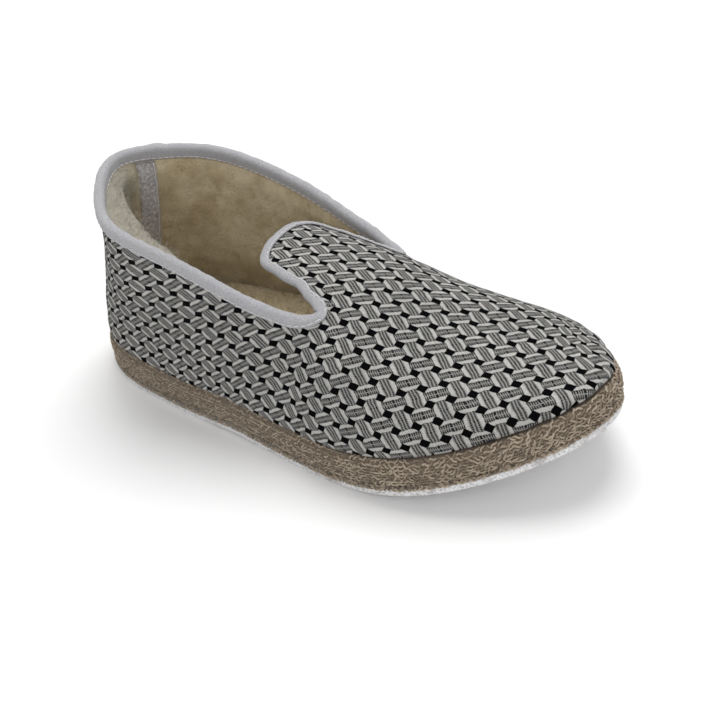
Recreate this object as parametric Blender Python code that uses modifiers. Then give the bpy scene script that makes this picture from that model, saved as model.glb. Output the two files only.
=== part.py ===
import math

import bmesh
import bpy
import numpy as np

# Slipper for the right foot. Tables are in millimetres; the mesh is in metres.
# +X runs from heel to toe, +Y to the inner side of the foot, +Z up, floor at zero.
MM = 0.001
LENGTH = 265.0
GAP = 0.3
# Place of the foot line's middle, so that the box of the whole shoe is centred.
LINE_X = -0.5
LINE_Y = 3.45

# Sole, from the floor up.
OUTSOLE_THICK = 3.4
MIDSOLE_THICK = 13.6
INSOLE_THICK = 6.0
INSOLE_THICK_TOE = 3.2
TOE_SPRING = 26.0
SPRING_START = 0.59
SPRING_POWER = 1.8
ARCH_RISE = 1.2
ARCH_START = 0.27
ARCH_END = 0.49

# Cloth and trim.
WALL = 3.0
SKIRT = 1.6
TAPE_THICK = 1.0
TAPE_OUTSIDE = 3.2
TAPE_INSIDE = 4.2
# Seam tape: sections and levels of the upper's face that it follows.
SEAM_SECTIONS = (-3.3, -2.5, -1.7)
SEAM_LEVELS = (5.0, 6.0, 7.0, 8.0, 9.0, 9.92)

# Mesh density.
OUTLINE_COUNT = 60
STEPS_PER_ROW = 4
WALL_LEVELS = 9
LEVEL_POWER = 1.6

# Sole outline: fraction of the length from the heel, half widths to each side of the foot line.
SOLE_ROWS = (
    # along, outer, inner
    (0.020, 17.0, 14.5),
    (0.080, 30.2, 29.0),
    (0.170, 37.6, 37.0),
    (0.330, 44.1, 40.1),
    (0.480, 49.8, 42.6),
    (0.620, 55.2, 48.2),
    (0.740, 54.4, 48.8),
    (0.860, 42.6, 44.0),
    (0.940, 28.4, 29.2),
    (0.985, 15.2, 15.4),
)
HEEL_Y = 0.8
TOE_Y = 8.0

# Sides of the sole layers: fraction of the height, inset from the outline at heel and at toe.
OUTSOLE_SIDE = (
    # height, inset heel, inset toe
    (0.00, 0.6, 0.6),
    (0.30, 0.0, 0.0),
    (1.00, 0.2, 0.2),
)
MIDSOLE_SIDE = (
    # height, inset heel, inset toe
    (0.00, 2.6, 2.6),
    (0.10, 1.2, 1.2),
    (0.30, 0.2, 0.2),
    (0.70, 0.0, 0.0),
    (0.90, 0.7, 0.7),
    (1.00, 2.4, 2.4),
)
INSOLE_SIDE = (
    # height, inset heel, inset toe
    (0.00, 3.8, 5.0),
    (0.60, 5.0, 9.0),
    (1.00, 7.2, 14.0),
)

# Ridge of the vamp, from the tip of the tongue to the front of the toe box.
RIDGE_ROWS = (
    # x, z, fullness
    (-24.0, 80.5, 2.7),
    (13.0, 74.0, 2.5),
    (48.0, 63.0, 2.1),
    (80.0, 53.0, 2.1),
    (104.0, 49.0, 2.2),
    (128.0, 46.2, 2.4),
)
CAP_X = 94.0
# The inner side of the vamp lies flatter near the throat.
INNER_SLACK = 0.35
SLACK_FROM = 30.0
SLACK_TO = 85.0

# Upper, one row per section from the middle of the heel to the middle of the toe.
# foot: place along the half outline; rim: the collar or tongue edge; spread and reach: how far
# the section runs square to the sole edge and to the rim; bulge: swell of the wall.
UPPER_ROWS = (
    # name, foot, rim x, rim y, rim z, spread, reach, bulge
    ("heel_back", 0.000, -114.5, 0.0, 100.2, 0.0, 0.0, 0.0),
    ("heel_turn", 0.095, -104.5, 22.5, 96.5, 0.0, 0.0, 0.0),
    ("heel_side", 0.195, -86.0, 38.0, 91.2, 0.0, 0.0, 0.5),
    ("quarter_back", 0.285, -60.0, 41.3, 85.8, 0.0, 0.0, 1.2),
    ("quarter_mid", 0.375, -34.5, 40.9, 78.3, 0.0, 0.0, 2.0),
    ("quarter_low", 0.440, -15.5, 39.4, 70.8, 1.0, 0.0, 2.0),
    ("quarter_front", 0.487, -2.0, 37.4, 66.4, 3.0, 0.0, 2.0),
    ("notch_lip", 0.535, 10.5, 34.6, 64.4, 5.0, 4.0, 2.0),
    ("notch", 0.590, 17.5, 29.8, 67.0, 10.0, 9.0, 2.0),
    ("tongue_root", 0.640, 11.5, 25.4, 70.0, 18.0, 15.0, 2.0),
    ("tongue_side", 0.695, 0.5, 24.4, 73.0, 24.0, 21.0, 2.0),
    ("tongue_edge", 0.755, -10.3, 22.6, 75.0, 26.0, 26.0, 1.5),
    ("tongue_corner", 0.830, -18.0, 17.2, 77.0, 24.0, 32.0, 1.0),
    ("tongue_end", 0.915, -21.0, 9.0, 79.0, 20.0, 38.0, 0.5),
    ("tongue_tip", 1.000, -21.8, 0.0, 80.0, 20.0, 40.0, 0.5),
)
BODY_FROM = 6.0
BODY_FULL = 9.0
SOLE_INSET_HEEL = 1.4
SOLE_INSET_TOE = 3.6

COLOURS = {
    # node: base colour, roughness
    "outsole": ((0.62, 0.61, 0.62), 0.95),
    "midsole": ((0.23, 0.17, 0.12), 0.95),
    "insole": ((0.52, 0.45, 0.31), 0.98),
    "upper": ((0.30, 0.29, 0.27), 0.85),
    "collar_binding": ((0.58, 0.58, 0.63), 0.80),
    "heel_tape": ((0.36, 0.36, 0.37), 0.90),
}


def spline(knots, values, closed):
    """Cubic spline coefficients: knots (n), values (n, k); closed adds the first value at the end."""
    h = np.diff(knots)
    n = len(h)
    size = n if closed else n + 1
    system = np.zeros((size, size))
    right = np.zeros((size, values.shape[1]))
    slope = np.diff(values, axis=0) / h[:, None]
    for i in range(size):
        if not closed and i in (0, size - 1):
            system[i, i] = 1.0
            continue
        before = i - 1
        system[i, before % size] += h[before]
        system[i, i] += 2.0 * (h[before] + h[i])
        system[i, (i + 1) % size] += h[i]
        right[i] = 6.0 * (slope[i] - slope[before])
    bend = np.linalg.solve(system, right)
    if closed:
        bend = np.vstack([bend, bend[:1]])
    return knots, values, bend


def on_spline(curve, at):
    knots, values, bend = curve
    at = np.atleast_1d(at)
    i = np.clip(np.searchsorted(knots, at, side="right") - 1, 0, len(knots) - 2)
    h = (knots[i + 1] - knots[i])[:, None]
    a = (knots[i + 1] - at)[:, None] / h
    b = 1.0 - a
    part = (a ** 3 - a) * bend[i] + (b ** 3 - b) * bend[i + 1]
    return a * values[i] + b * values[i + 1] + part * h ** 2 / 6.0


def smoothstep(low, high, at):
    t = np.clip((at - low) / (high - low), 0.0, 1.0)
    return t * t * (3.0 - 2.0 * t)


def floor_line(x):
    """Underside of the sole: level heel, low arch, level forefoot, toe spring."""
    along = np.asarray(x) / LENGTH + 0.5
    arch = np.clip((along - ARCH_START) / (ARCH_END - ARCH_START), 0.0, 1.0)
    spring = np.clip((along - SPRING_START) / (1.0 - SPRING_START), 0.0, 1.05)
    return ARCH_RISE * np.sin(math.pi * arch) ** 2 + TOE_SPRING * spring ** SPRING_POWER


def outline_curve():
    outer = [((a - 0.5) * LENGTH, -o) for a, o, i in SOLE_ROWS]
    inner = [((a - 0.5) * LENGTH, i) for a, o, i in SOLE_ROWS]
    loop = [(-LENGTH / 2.0, HEEL_Y)] + outer + [(LENGTH / 2.0, TOE_Y)] + inner[::-1]
    loop = np.array(loop + loop[:1])
    steps = np.hypot(*np.diff(loop, axis=0).T)
    knots = np.concatenate([[0.0], np.cumsum(steps)])
    return spline(knots, loop, True), knots[len(outer) + 1], knots[-1]


def outline(at):
    """Sole outline and its inward direction; runs heel, outer side, toe, inner side."""
    curve, toe, end = outline_curve()
    at = np.mod(at, end)
    here = on_spline(curve, at)
    ahead = on_spline(curve, np.mod(at + 0.5, end)) - on_spline(curve, np.mod(at - 0.5, end))
    ahead /= np.linalg.norm(ahead, axis=1, keepdims=True)
    inward = np.stack([-ahead[:, 1], ahead[:, 0]], axis=1)
    return here, inward


def foot_loop(at):
    """Edge of the upper on the sole."""
    plain, inward = outline(at)
    inset = SOLE_INSET_HEEL + (SOLE_INSET_TOE - SOLE_INSET_HEEL) * smoothstep(0.0, 120.0, plain[:, 0])
    return plain + inward * inset[:, None], inward


def sole_top(x):
    return floor_line(x) + OUTSOLE_THICK + GAP + MIDSOLE_THICK


def ridge_at(x):
    table = np.array(RIDGE_ROWS)
    curve = spline(table[:, 0], table[:, 1:], False)
    return on_spline(curve, np.clip(x, table[0, 0], table[-1, 0]))


def body_height(plan):
    """Height of the vamp over a plan point: rounded sections, with a rounded toe cap at the front."""
    curve, toe, end = outline_curve()
    edge, inward = foot_loop(np.linspace(0.0, end, 721)[:-1])
    x, y = plan[:, 0], plan[:, 1]
    outer = edge[:361]
    inner = edge[360:][::-1]
    low = np.interp(x, outer[:, 0], outer[:, 1])
    high = np.interp(x, inner[:, 0], inner[:, 1])
    middle = HEEL_Y + (TOE_Y - HEEL_Y) * smoothstep(0.0, LENGTH / 2.0, x)
    side = np.where(y < middle, (middle - y) / (middle - low), (y - middle) / (high - middle))
    base = sole_top(x)
    centre = np.array([CAP_X, HEEL_Y + (TOE_Y - HEEL_Y) * smoothstep(0.0, LENGTH / 2.0, CAP_X)])
    front = edge[edge[:, 0] > CAP_X - 12.0]
    angle = np.arctan2(front[:, 1] - centre[1], front[:, 0] - centre[0])
    order = np.argsort(angle)
    reach = np.hypot(front[:, 0] - centre[0], front[:, 1] - centre[1])[order]
    turn = np.arctan2(y - centre[1], x - centre[0])
    radius = np.interp(turn, angle[order], reach)
    away = np.hypot(x - centre[0], y - centre[1])
    in_cap = x > CAP_X
    rho = np.where(in_cap, away / radius, side)
    base = np.where(in_cap, sole_top(np.interp(turn, angle[order], front[order, 0])), base)
    top = ridge_at(x)
    slack = INNER_SLACK * (y > middle) * (1.0 - smoothstep(SLACK_FROM, SLACK_TO, x))
    full = top[:, 1] - slack
    lift = np.clip(1.0 - np.clip(rho, 0.0, 1.0) ** full, 0.0, 1.0) ** (1.0 / full)
    return base + (top[:, 0] - base) * lift


def upper_rows():
    """Both sides of the upper as one closed table of sections."""
    curve, toe, end = outline_curve()
    half = [list(row[1:]) for row in UPPER_ROWS]
    outer = [[row[0] * toe, row[1], -row[2]] + row[3:] for row in half]
    inner = [[end - row[0] * (end - toe), row[1], row[2]] + row[3:] for row in half[1:-1]]
    table = np.array(outer + inner[::-1] + [[end] + outer[0][1:]])
    return spline(np.arange(len(table), dtype=float), table, True)


def closed_path(values, period):
    return np.mod(values, period)


def upper_sections(stations, levels):
    """Dense section curves of the outer face: array (station, level, xyz)."""
    rows = upper_rows()
    count = len(rows[0]) - 1
    at = on_spline(rows, stations)
    foot, inward = foot_loop(at[:, 0])
    rim = at[:, 1:3]
    step = 0.05
    ahead = on_spline(rows, closed_path(stations + step, count))[:, 1:3]
    behind = on_spline(rows, closed_path(stations - step, count))[:, 1:3]
    along = ahead - behind
    along /= np.linalg.norm(along, axis=1, keepdims=True)
    into = np.stack([along[:, 1], -along[:, 0]], axis=1)
    spread = at[:, 4:5]
    reach = at[:, 5:6]
    mirrored = np.minimum(stations, count - stations)
    body = smoothstep(BODY_FROM, BODY_FULL, mirrored)
    result = np.zeros((len(stations), len(levels), 3))
    for k, t in enumerate(levels):
        u = t ** (1.0 + body[:, None])
        v = 1.0 - u
        plan = v ** 3 * foot + 3 * v * v * u * (foot + spread * inward)
        plan = plan + 3 * v * u * u * (rim + reach * into) + u ** 3 * rim
        swell = at[:, 6:7] * 4.0 * t * (1.0 - t) * (1.0 - 0.5 * t)
        wall_z = sole_top(foot[:, 0]) + (at[:, 3] - sole_top(foot[:, 0])) * t
        z = wall_z * (1.0 - body) + body_height(plan) * body
        result[:, k, :2] = plan - inward * swell
        result[:, k, 2] = z + GAP + SKIRT * (1.0 - t)
    return result


def upper_grid():
    """Outer face of the upper: sections by levels, the last levels at set distances from the rim."""
    rows = upper_rows()
    stations = np.arange(0, (len(rows[0]) - 1) * STEPS_PER_ROW) / STEPS_PER_ROW
    dense = upper_sections(stations, np.linspace(0.0, 1.0, 81))
    steps = np.linalg.norm(np.diff(dense, axis=1), axis=2)
    walked = np.concatenate([np.zeros((len(stations), 1)), np.cumsum(steps, axis=1)], axis=1)
    near_rim = np.array([TAPE_INSIDE, TAPE_OUTSIDE, TAPE_OUTSIDE / 2.0, 0.0])
    rise = np.linspace(0.0, 1.0, WALL_LEVELS + 1)[:-1] ** LEVEL_POWER
    grid = np.zeros((len(stations), WALL_LEVELS + len(near_rim) + 1, 3))
    for i in range(len(stations)):
        lower = rise * (walked[i, -1] - TAPE_INSIDE)
        places = np.concatenate([lower, walked[i, -1] - near_rim])
        for axis in range(3):
            grid[i, 1:, axis] = np.interp(places, walked[i], dense[i, :, axis])
    grid[:, 0] = grid[:, 1]
    grid[:, 0, 2] -= SKIRT
    grid[:, :, 0] += LINE_X
    grid[:, :, 1] += LINE_Y
    return grid


def grid_mesh(name, grid, closed):
    """Open surface through a grid of points, in metres."""
    count, levels = grid.shape[:2]
    bm = bmesh.new()
    verts = [[bm.verts.new(grid[i, k] * MM) for k in range(levels)] for i in range(count)]
    for i in range(count if closed else count - 1):
        j = (i + 1) % count
        for k in range(levels - 1):
            bm.faces.new((verts[i][k], verts[j][k], verts[j][k + 1], verts[i][k + 1]))
    bm.normal_update()
    mesh = bpy.data.meshes.new(name)
    bm.to_mesh(mesh)
    bm.free()
    return mesh


def between(grid, section, level):
    """Point of a grid at a fractional section and level."""
    i = math.floor(section)
    k = math.floor(level)
    a = section - i
    b = level - k
    low = grid[i, k] * (1.0 - a) + grid[i + 1, k] * a
    high = grid[i, k + 1] * (1.0 - a) + grid[i + 1, k + 1] * a
    return low * (1.0 - b) + high * b


def grid_normals(grid):
    mesh = grid_mesh("probe", grid, True)
    flat = np.zeros(len(mesh.vertices) * 3)
    mesh.vertices.foreach_get("normal", flat)
    bpy.data.meshes.remove(mesh)
    return flat.reshape(grid.shape)


def slab_mesh(name, side, low, thick, thick_toe, path):
    """Sole layer: loops of the outline stacked by a side profile, closed above and below."""
    curve, toe, end = outline_curve()
    half = OUTLINE_COUNT // 2
    share = np.linspace(0.0, 1.0, half + 1)
    share = 0.5 * share + 0.25 * (1.0 - np.cos(math.pi * share))
    at = np.concatenate([share * toe, toe + share[1:-1] * (end - toe)])
    bm = bmesh.new()
    loops = []
    plain, inward = path(at)
    toe_share = smoothstep(20.0, 115.0, plain[:, 0])
    tall = thick + (thick_toe - thick) * toe_share
    for height, at_heel, at_toe in side:
        inset = at_heel + (at_toe - at_heel) * toe_share
        points = plain + inward * inset[:, None]
        z = floor_line(points[:, 0]) + low + tall * height
        points = np.column_stack([points[:, 0] + LINE_X, points[:, 1] + LINE_Y, z])
        loops.append([bm.verts.new(point * MM) for point in points])
    count = len(at)
    for below, above in zip(loops, loops[1:]):
        for i in range(count):
            j = (i + 1) % count
            bm.faces.new((below[i], below[j], above[j], above[i]))
    for loop, up in ((loops[0], False), (loops[-1], True)):
        for i in range(half):
            ring = [loop[-i % count], loop[i], loop[i + 1], loop[-(i + 1) % count]]
            ring = [v for k, v in enumerate(ring) if v not in ring[:k]]
            bm.faces.new(ring if up else ring[::-1])
    bmesh.ops.dissolve_limit(bm, angle_limit=0.0002, verts=bm.verts[:], edges=bm.edges[:])
    bm.normal_update()
    mesh = bpy.data.meshes.new(name)
    bm.to_mesh(mesh)
    bm.free()
    return mesh


def add_part(name, mesh, collection):
    colour, rough = COLOURS[name]
    material = bpy.data.materials.new(name)
    material.use_nodes = True
    shader = material.node_tree.nodes["Principled BSDF"]
    shader.inputs["Base Color"].default_value = (*colour, 1.0)
    shader.inputs["Roughness"].default_value = rough
    shader.inputs["Metallic"].default_value = 0.0
    mesh.materials.append(material)
    part = bpy.data.objects.new(name, mesh)
    collection.objects.link(part)
    return part


def thicken(part, thickness, offset):
    solid = part.modifiers.new("wall", "SOLIDIFY")
    solid.thickness = thickness * MM
    solid.offset = offset
    solid.use_even_offset = False
    return solid


for thing in list(bpy.data.objects):
    bpy.data.objects.remove(thing, do_unlink=True)
group = bpy.data.collections.new("slipper")
bpy.context.scene.collection.children.link(group)

# Sole: felt underside, wrapped edge band, fleece footbed.
low = 0.0
add_part("outsole", slab_mesh("outsole", OUTSOLE_SIDE, low, OUTSOLE_THICK, OUTSOLE_THICK, outline), group)
low += OUTSOLE_THICK + GAP
add_part("midsole", slab_mesh("midsole", MIDSOLE_SIDE, low, MIDSOLE_THICK, MIDSOLE_THICK, outline), group)
low += MIDSOLE_THICK + GAP
add_part("insole", slab_mesh("insole", INSOLE_SIDE, low, INSOLE_THICK, INSOLE_THICK_TOE, foot_loop), group)

# Upper: one open surface from the sole edge to the rim, given its wall.
face = upper_grid()
normal = grid_normals(face)
thicken(add_part("upper", grid_mesh("upper", face, True), group), WALL, -1.0)

# Binding: a strip folded over the rim, from the outside of the wall to its inside.
outside = [face[:, k] + normal[:, k] * GAP for k in (-3, -2, -1)]
inside = [face[:, k] - normal[:, k] * (WALL + GAP) for k in (-1, -2, -4)]
lift = face[:, -1] - face[:, -2]
lift /= np.linalg.norm(lift, axis=1, keepdims=True)
middle = face[:, -1] - normal[:, -1] * WALL / 2.0
fold = WALL / 2.0 + GAP
over = []
for turn in (45.0, 90.0, 135.0):
    c = math.cos(math.radians(turn))
    s = math.sin(math.radians(turn))
    over.append(middle + (normal[:, -1] * c + lift * s) * fold)
strip = np.stack(outside + over + inside, axis=1)
thicken(add_part("collar_binding", grid_mesh("collar_binding", strip, True), group), TAPE_THICK, 1.0)

# Seam tape down the inside of the heel, under the binding.
back = face - normal * (WALL + GAP)
tape = np.array([[between(back, c, k) for k in SEAM_LEVELS] for c in SEAM_SECTIONS])
thicken(add_part("heel_tape", grid_mesh("heel_tape", tape, False), group), TAPE_THICK, -1.0)
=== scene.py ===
import math
import bpy
import numpy as np
from mathutils import Matrix


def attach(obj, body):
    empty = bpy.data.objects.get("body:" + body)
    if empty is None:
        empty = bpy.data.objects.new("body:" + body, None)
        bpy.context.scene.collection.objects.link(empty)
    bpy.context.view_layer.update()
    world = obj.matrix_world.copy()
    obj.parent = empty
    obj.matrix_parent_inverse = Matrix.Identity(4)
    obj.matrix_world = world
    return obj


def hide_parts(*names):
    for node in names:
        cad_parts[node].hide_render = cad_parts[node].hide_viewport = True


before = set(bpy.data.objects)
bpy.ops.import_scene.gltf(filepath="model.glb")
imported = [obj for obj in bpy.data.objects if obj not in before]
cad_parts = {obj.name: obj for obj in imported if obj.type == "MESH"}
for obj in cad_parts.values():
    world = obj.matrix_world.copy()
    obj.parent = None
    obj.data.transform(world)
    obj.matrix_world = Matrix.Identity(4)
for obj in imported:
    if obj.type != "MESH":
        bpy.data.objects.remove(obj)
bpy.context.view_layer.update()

# Right slipper, worked out in millimetres: +X to the toe, +Y to the inner side, floor at zero.
scene = bpy.context.scene
mm = 0.001
print("frame loaded:", sorted(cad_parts))

# In every dictionary a pair of places is where a change starts and where it ends. Places with an X lie along
# the slipper. The body, the tongue and the trim count sections of the upper round from the heel; arch and
# spring begin and end at shares of the length.
last = {
    "length": 265.0, "lineX": -0.5, "lineY": 3.45, "gap": 0.3, "edgePoints": 720,
    "outsole": 3.4, "band": 13.6, "insole": 6.0, "insoleToe": 3.2, "taperX": (20.0, 115.0),
    "spring": 26.0, "springStart": 0.59, "springPower": 1.8, "springMost": 1.05,
    "arch": 1.2, "archStart": 0.27, "archEnd": 0.49,
    "wall": 3.0, "skirt": 1.6, "heelY": 0.8, "toeY": 8.0, "capX": 94.0, "capLap": 12.0,
    "body": (6.0, 9.0), "insetHeel": 1.4, "insetToe": 3.6, "insetX": (0.0, 120.0),
    "slack": 0.35, "slackX": (30.0, 85.0), "levels": 120, "soleStep": 0.5, "sectionStep": 0.05,
    "lipWall": 2.2, "tongue": (8.5, 9.4), "lipTrim": 3.0, "trimIn": (9.1, 9.9), "trimOut": (10.9, 12.0),
}
# share of the length from the heel, half widths to the outer and inner side
soleRows = (
    (0.020, 17.0, 14.5), (0.080, 30.2, 29.0), (0.170, 37.6, 37.0), (0.330, 44.1, 40.1), (0.480, 49.8, 42.6),
    (0.620, 55.2, 48.2), (0.740, 54.4, 48.8), (0.860, 42.6, 44.0), (0.940, 28.4, 29.2), (0.985, 15.2, 15.4),
)
# ridge of the vamp: x, z, fullness
ridgeRows = (
    (-24.0, 80.5, 2.7), (13.0, 74.0, 2.5), (48.0, 63.0, 2.1),
    (80.0, 53.0, 2.1), (104.0, 49.0, 2.2), (128.0, 46.2, 2.4),
)
# sections of the upper, heel to toe: foot, rim x, rim y, rim z, spread, reach, bulge
upperRows = (
    (0.000, -114.5, 0.0, 100.2, 0.0, 0.0, 0.0),
    (0.095, -104.5, 22.5, 96.5, 0.0, 0.0, 0.0),
    (0.195, -86.0, 38.0, 91.2, 0.0, 0.0, 0.5),
    (0.285, -60.0, 41.3, 85.8, 0.0, 0.0, 1.2),
    (0.375, -34.5, 40.9, 78.3, 0.0, 0.0, 2.0),
    (0.440, -15.5, 39.4, 70.8, 1.0, 0.0, 2.0),
    (0.487, -2.0, 37.4, 66.4, 3.0, 0.0, 2.0),
    (0.535, 10.5, 34.6, 64.4, 5.0, 4.0, 2.0),
    (0.590, 17.5, 29.8, 67.0, 10.0, 9.0, 2.0),
    (0.640, 11.5, 25.4, 70.0, 18.0, 15.0, 2.0),
    (0.695, 0.5, 24.4, 73.0, 24.0, 21.0, 2.0),
    (0.755, -10.3, 22.6, 75.0, 26.0, 26.0, 1.5),
    (0.830, -18.0, 17.2, 77.0, 24.0, 32.0, 1.0),
    (0.915, -21.0, 9.0, 79.0, 20.0, 38.0, 0.5),
    (1.000, -21.8, 0.0, 80.0, 20.0, 40.0, 0.5),
)


def makeSpline(knots, values, closed):
    # cubic through the values, with free ends or closed
    h = np.diff(knots)
    size = len(h) if closed else len(h) + 1
    system = np.zeros((size, size))
    right = np.zeros((size, values.shape[1]))
    slope = np.diff(values, axis=0) / h[:, None]
    for i in range(size):
        if not closed and i in (0, size - 1):
            system[i, i] = 1.0
            continue
        system[i, (i - 1) % size] += h[i - 1]
        system[i, i] += 2.0 * (h[i - 1] + h[i])
        system[i, (i + 1) % size] += h[i]
        right[i] = 6.0 * (slope[i] - slope[i - 1])
    bend = np.linalg.solve(system, right)
    if closed:
        bend = np.vstack([bend, bend[:1]])
    return knots, values, bend


def onSpline(curve, at):
    knots, values, bend = curve
    at = np.atleast_1d(at)
    i = np.clip(np.searchsorted(knots, at, side="right") - 1, 0, len(knots) - 2)
    h = (knots[i + 1] - knots[i])[:, None]
    a = (knots[i + 1] - at)[:, None] / h
    b = 1.0 - a
    curl = (a ** 3 - a) * bend[i] + (b ** 3 - b) * bend[i + 1]
    return a * values[i] + b * values[i + 1] + curl * h ** 2 / 6.0


def aheadOn(curve, at, step):
    # a closed curve's own direction, not yet of unit length
    end = curve[0][-1]
    return onSpline(curve, np.mod(at + step, end)) - onSpline(curve, np.mod(at - step, end))


def smoothStep(low, high, at):
    t = np.clip((at - low) / (high - low), 0.0, 1.0)
    return t * t * (3.0 - 2.0 * t)


def window(at, rise, fall):
    return smoothStep(*rise, at) * (1.0 - smoothStep(*fall, at))


def hump(at, middle, reach):
    return np.exp(-((at - middle) / reach) ** 2)


def between(low, high, share):
    return low + (high - low) * share


def unit(vectors):
    return vectors / np.linalg.norm(vectors, axis=-1, keepdims=True)


def closedLine(line):
    return np.vstack([line, line[:1]])


def walkedAlong(line):
    return np.concatenate([[0.0], np.cumsum(np.linalg.norm(np.diff(line, axis=0), axis=1))])


def onLine(at, walked, line):
    return np.stack([np.interp(at, walked, line[:, axis]) for axis in range(3)], axis=1)


def floorLine(x):
    along = np.asarray(x) / last["length"] + 0.5
    arch = np.clip((along - last["archStart"]) / (last["archEnd"] - last["archStart"]), 0.0, 1.0)
    spring = np.clip((along - last["springStart"]) / (1.0 - last["springStart"]), 0.0, last["springMost"])
    return last["arch"] * np.sin(math.pi * arch) ** 2 + last["spring"] * spring ** last["springPower"]


def outlineCurve():
    outer = [((share - 0.5) * last["length"], -outside) for share, outside, inside in soleRows]
    inner = [((share - 0.5) * last["length"], inside) for share, outside, inside in soleRows]
    heel = (-last["length"] / 2.0, last["heelY"])
    toe = (last["length"] / 2.0, last["toeY"])
    loop = np.array([heel, *outer, toe, *inner[::-1], heel])
    knots = np.concatenate([[0.0], np.cumsum(np.hypot(*np.diff(loop, axis=0).T))])
    return makeSpline(knots, loop, True), knots[len(outer) + 1], knots[-1]


soleCurve, toeAt, loopEnd = outlineCurve()


def soleOutline(at):
    at = np.mod(at, loopEnd)
    ahead = unit(aheadOn(soleCurve, at, last["soleStep"]))
    return onSpline(soleCurve, at), np.stack([-ahead[:, 1], ahead[:, 0]], axis=1)


def footLoop(at):
    plain, inward = soleOutline(at)
    inset = between(last["insetHeel"], last["insetToe"], smoothStep(*last["insetX"], plain[:, 0]))
    return plain + inward * inset[:, None], inward


def soleTop(x):
    return floorLine(x) + last["outsole"] + last["gap"] + last["band"]


def middleLine(x):
    return between(last["heelY"], last["toeY"], smoothStep(0.0, last["length"] / 2.0, x))


footEdge = footLoop(np.linspace(0.0, loopEnd, last["edgePoints"] + 1)[:-1])[0]
outerEdge = footEdge[:last["edgePoints"] // 2 + 1]
innerEdge = footEdge[last["edgePoints"] // 2:][::-1]
ridgeTable = np.array(ridgeRows)
ridgeCurve = makeSpline(ridgeTable[:, 0], ridgeTable[:, 1:], False)


def bodyHeight(plan):
    # rounded sections over the foot, with a rounded cap at the toe
    x, y = plan[:, 0], plan[:, 1]
    low, high = np.interp(x, *outerEdge.T), np.interp(x, *innerEdge.T)
    middle = middleLine(x)
    side = np.where(y < middle, (middle - y) / (middle - low), (y - middle) / (high - middle))
    centre = np.array([last["capX"], middleLine(last["capX"])])
    front = footEdge[footEdge[:, 0] > last["capX"] - last["capLap"]]
    angle = np.arctan2(front[:, 1] - centre[1], front[:, 0] - centre[0])
    order = np.argsort(angle)
    reach = np.hypot(front[:, 0] - centre[0], front[:, 1] - centre[1])[order]
    turn = np.arctan2(y - centre[1], x - centre[0])
    inCap = x > last["capX"]
    inFront = np.hypot(x - centre[0], y - centre[1]) / np.interp(turn, angle[order], reach)
    across = np.where(inCap, inFront, side)
    base = np.where(inCap, soleTop(np.interp(turn, angle[order], front[order, 0])), soleTop(x))
    top = onSpline(ridgeCurve, np.clip(x, ridgeTable[0, 0], ridgeTable[-1, 0]))
    full = top[:, 1] - last["slack"] * (y > middle) * (1.0 - smoothStep(*last["slackX"], x))
    lift = np.clip(1.0 - np.clip(across, 0.0, 1.0) ** full, 0.0, 1.0) ** (1.0 / full)
    return between(base, top[:, 0], lift)


def closedRows():
    outer = [[row[0] * toeAt, row[1], -row[2], *row[3:]] for row in upperRows]
    inner = [[loopEnd - row[0] * (loopEnd - toeAt), *row[1:]] for row in upperRows[1:-1]]
    table = np.array(outer + inner[::-1] + [[loopEnd] + outer[0][1:]])
    return makeSpline(np.arange(len(table), dtype=float), table, True)


sectionRows = closedRows()
sectionCount = len(sectionRows[0]) - 1


def fromHeel(stations):
    return np.minimum(stations, sectionCount - stations)


def upperFace(stations, levels):
    around = np.mod(stations, sectionCount)
    at = onSpline(sectionRows, around)
    foot, inward = footLoop(at[:, 0])
    rim, rimHeight = at[:, 1:3], at[:, 3]
    footPull, rimPull, bulge = at[:, 4:5], at[:, 5:6], at[:, 6:7]
    along = unit(aheadOn(sectionRows, stations, last["sectionStep"])[:, 1:3])
    into = np.stack([along[:, 1], -along[:, 0]], axis=1)
    body = smoothStep(*last["body"], fromHeel(around))
    face = np.zeros((len(stations), len(levels), 3))
    base = soleTop(foot[:, 0])
    for k, t in enumerate(levels):
        u = t ** (1.0 + body[:, None])
        v = 1.0 - u
        plan = v ** 3 * foot + 3 * v * v * u * (foot + footPull * inward)
        plan = plan + 3 * v * u * u * (rim + rimPull * into) + u ** 3 * rim
        swell = bulge * 4.0 * t * (1.0 - t) * (1.0 - 0.5 * t)
        face[:, k, :2] = plan - inward * swell
        face[:, k, 2] = between(base, rimHeight, t) * (1.0 - body) + bodyHeight(plan) * body
        face[:, k, 2] += last["gap"] + last["skirt"] * (1.0 - t)
    face[:, :, 0] += last["lineX"]
    face[:, :, 1] += last["lineY"]
    return face


def onTongue(stations):
    return smoothStep(*last["tongue"], fromHeel(stations))


def lipWall(stations):
    # the wall thins out towards the tongue
    return between(last["wall"], last["lipWall"], onTongue(stations))


def lipTrim(stations):
    # the soft lip of the tongue is drawn back along its side edges
    return last["lipTrim"] * window(fromHeel(stations), last["trimIn"], last["trimOut"])


def footDistance(face):
    # way up each section from its foot
    steps = np.cumsum(np.linalg.norm(np.diff(face, axis=1), axis=2), axis=1)
    return np.concatenate([np.zeros((len(face), 1)), steps], axis=1)


def evenFace(stations, fromFoot, fromRim):
    # rows at shares of each section, then rows at set distances from the rim
    dense = upperFace(stations, np.linspace(0.0, 1.0, last["levels"] + 1))
    walked = footDistance(dense)
    top = walked[:, -1] - lipTrim(np.asarray(stations))
    face = []
    for i in range(len(stations)):
        low = np.asarray(fromFoot) * (top[i] - fromRim[0])
        face.append(onLine(np.concatenate([low, top[i] - np.asarray(fromRim)]), walked[i], dense[i]))
    return np.stack(face)


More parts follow.
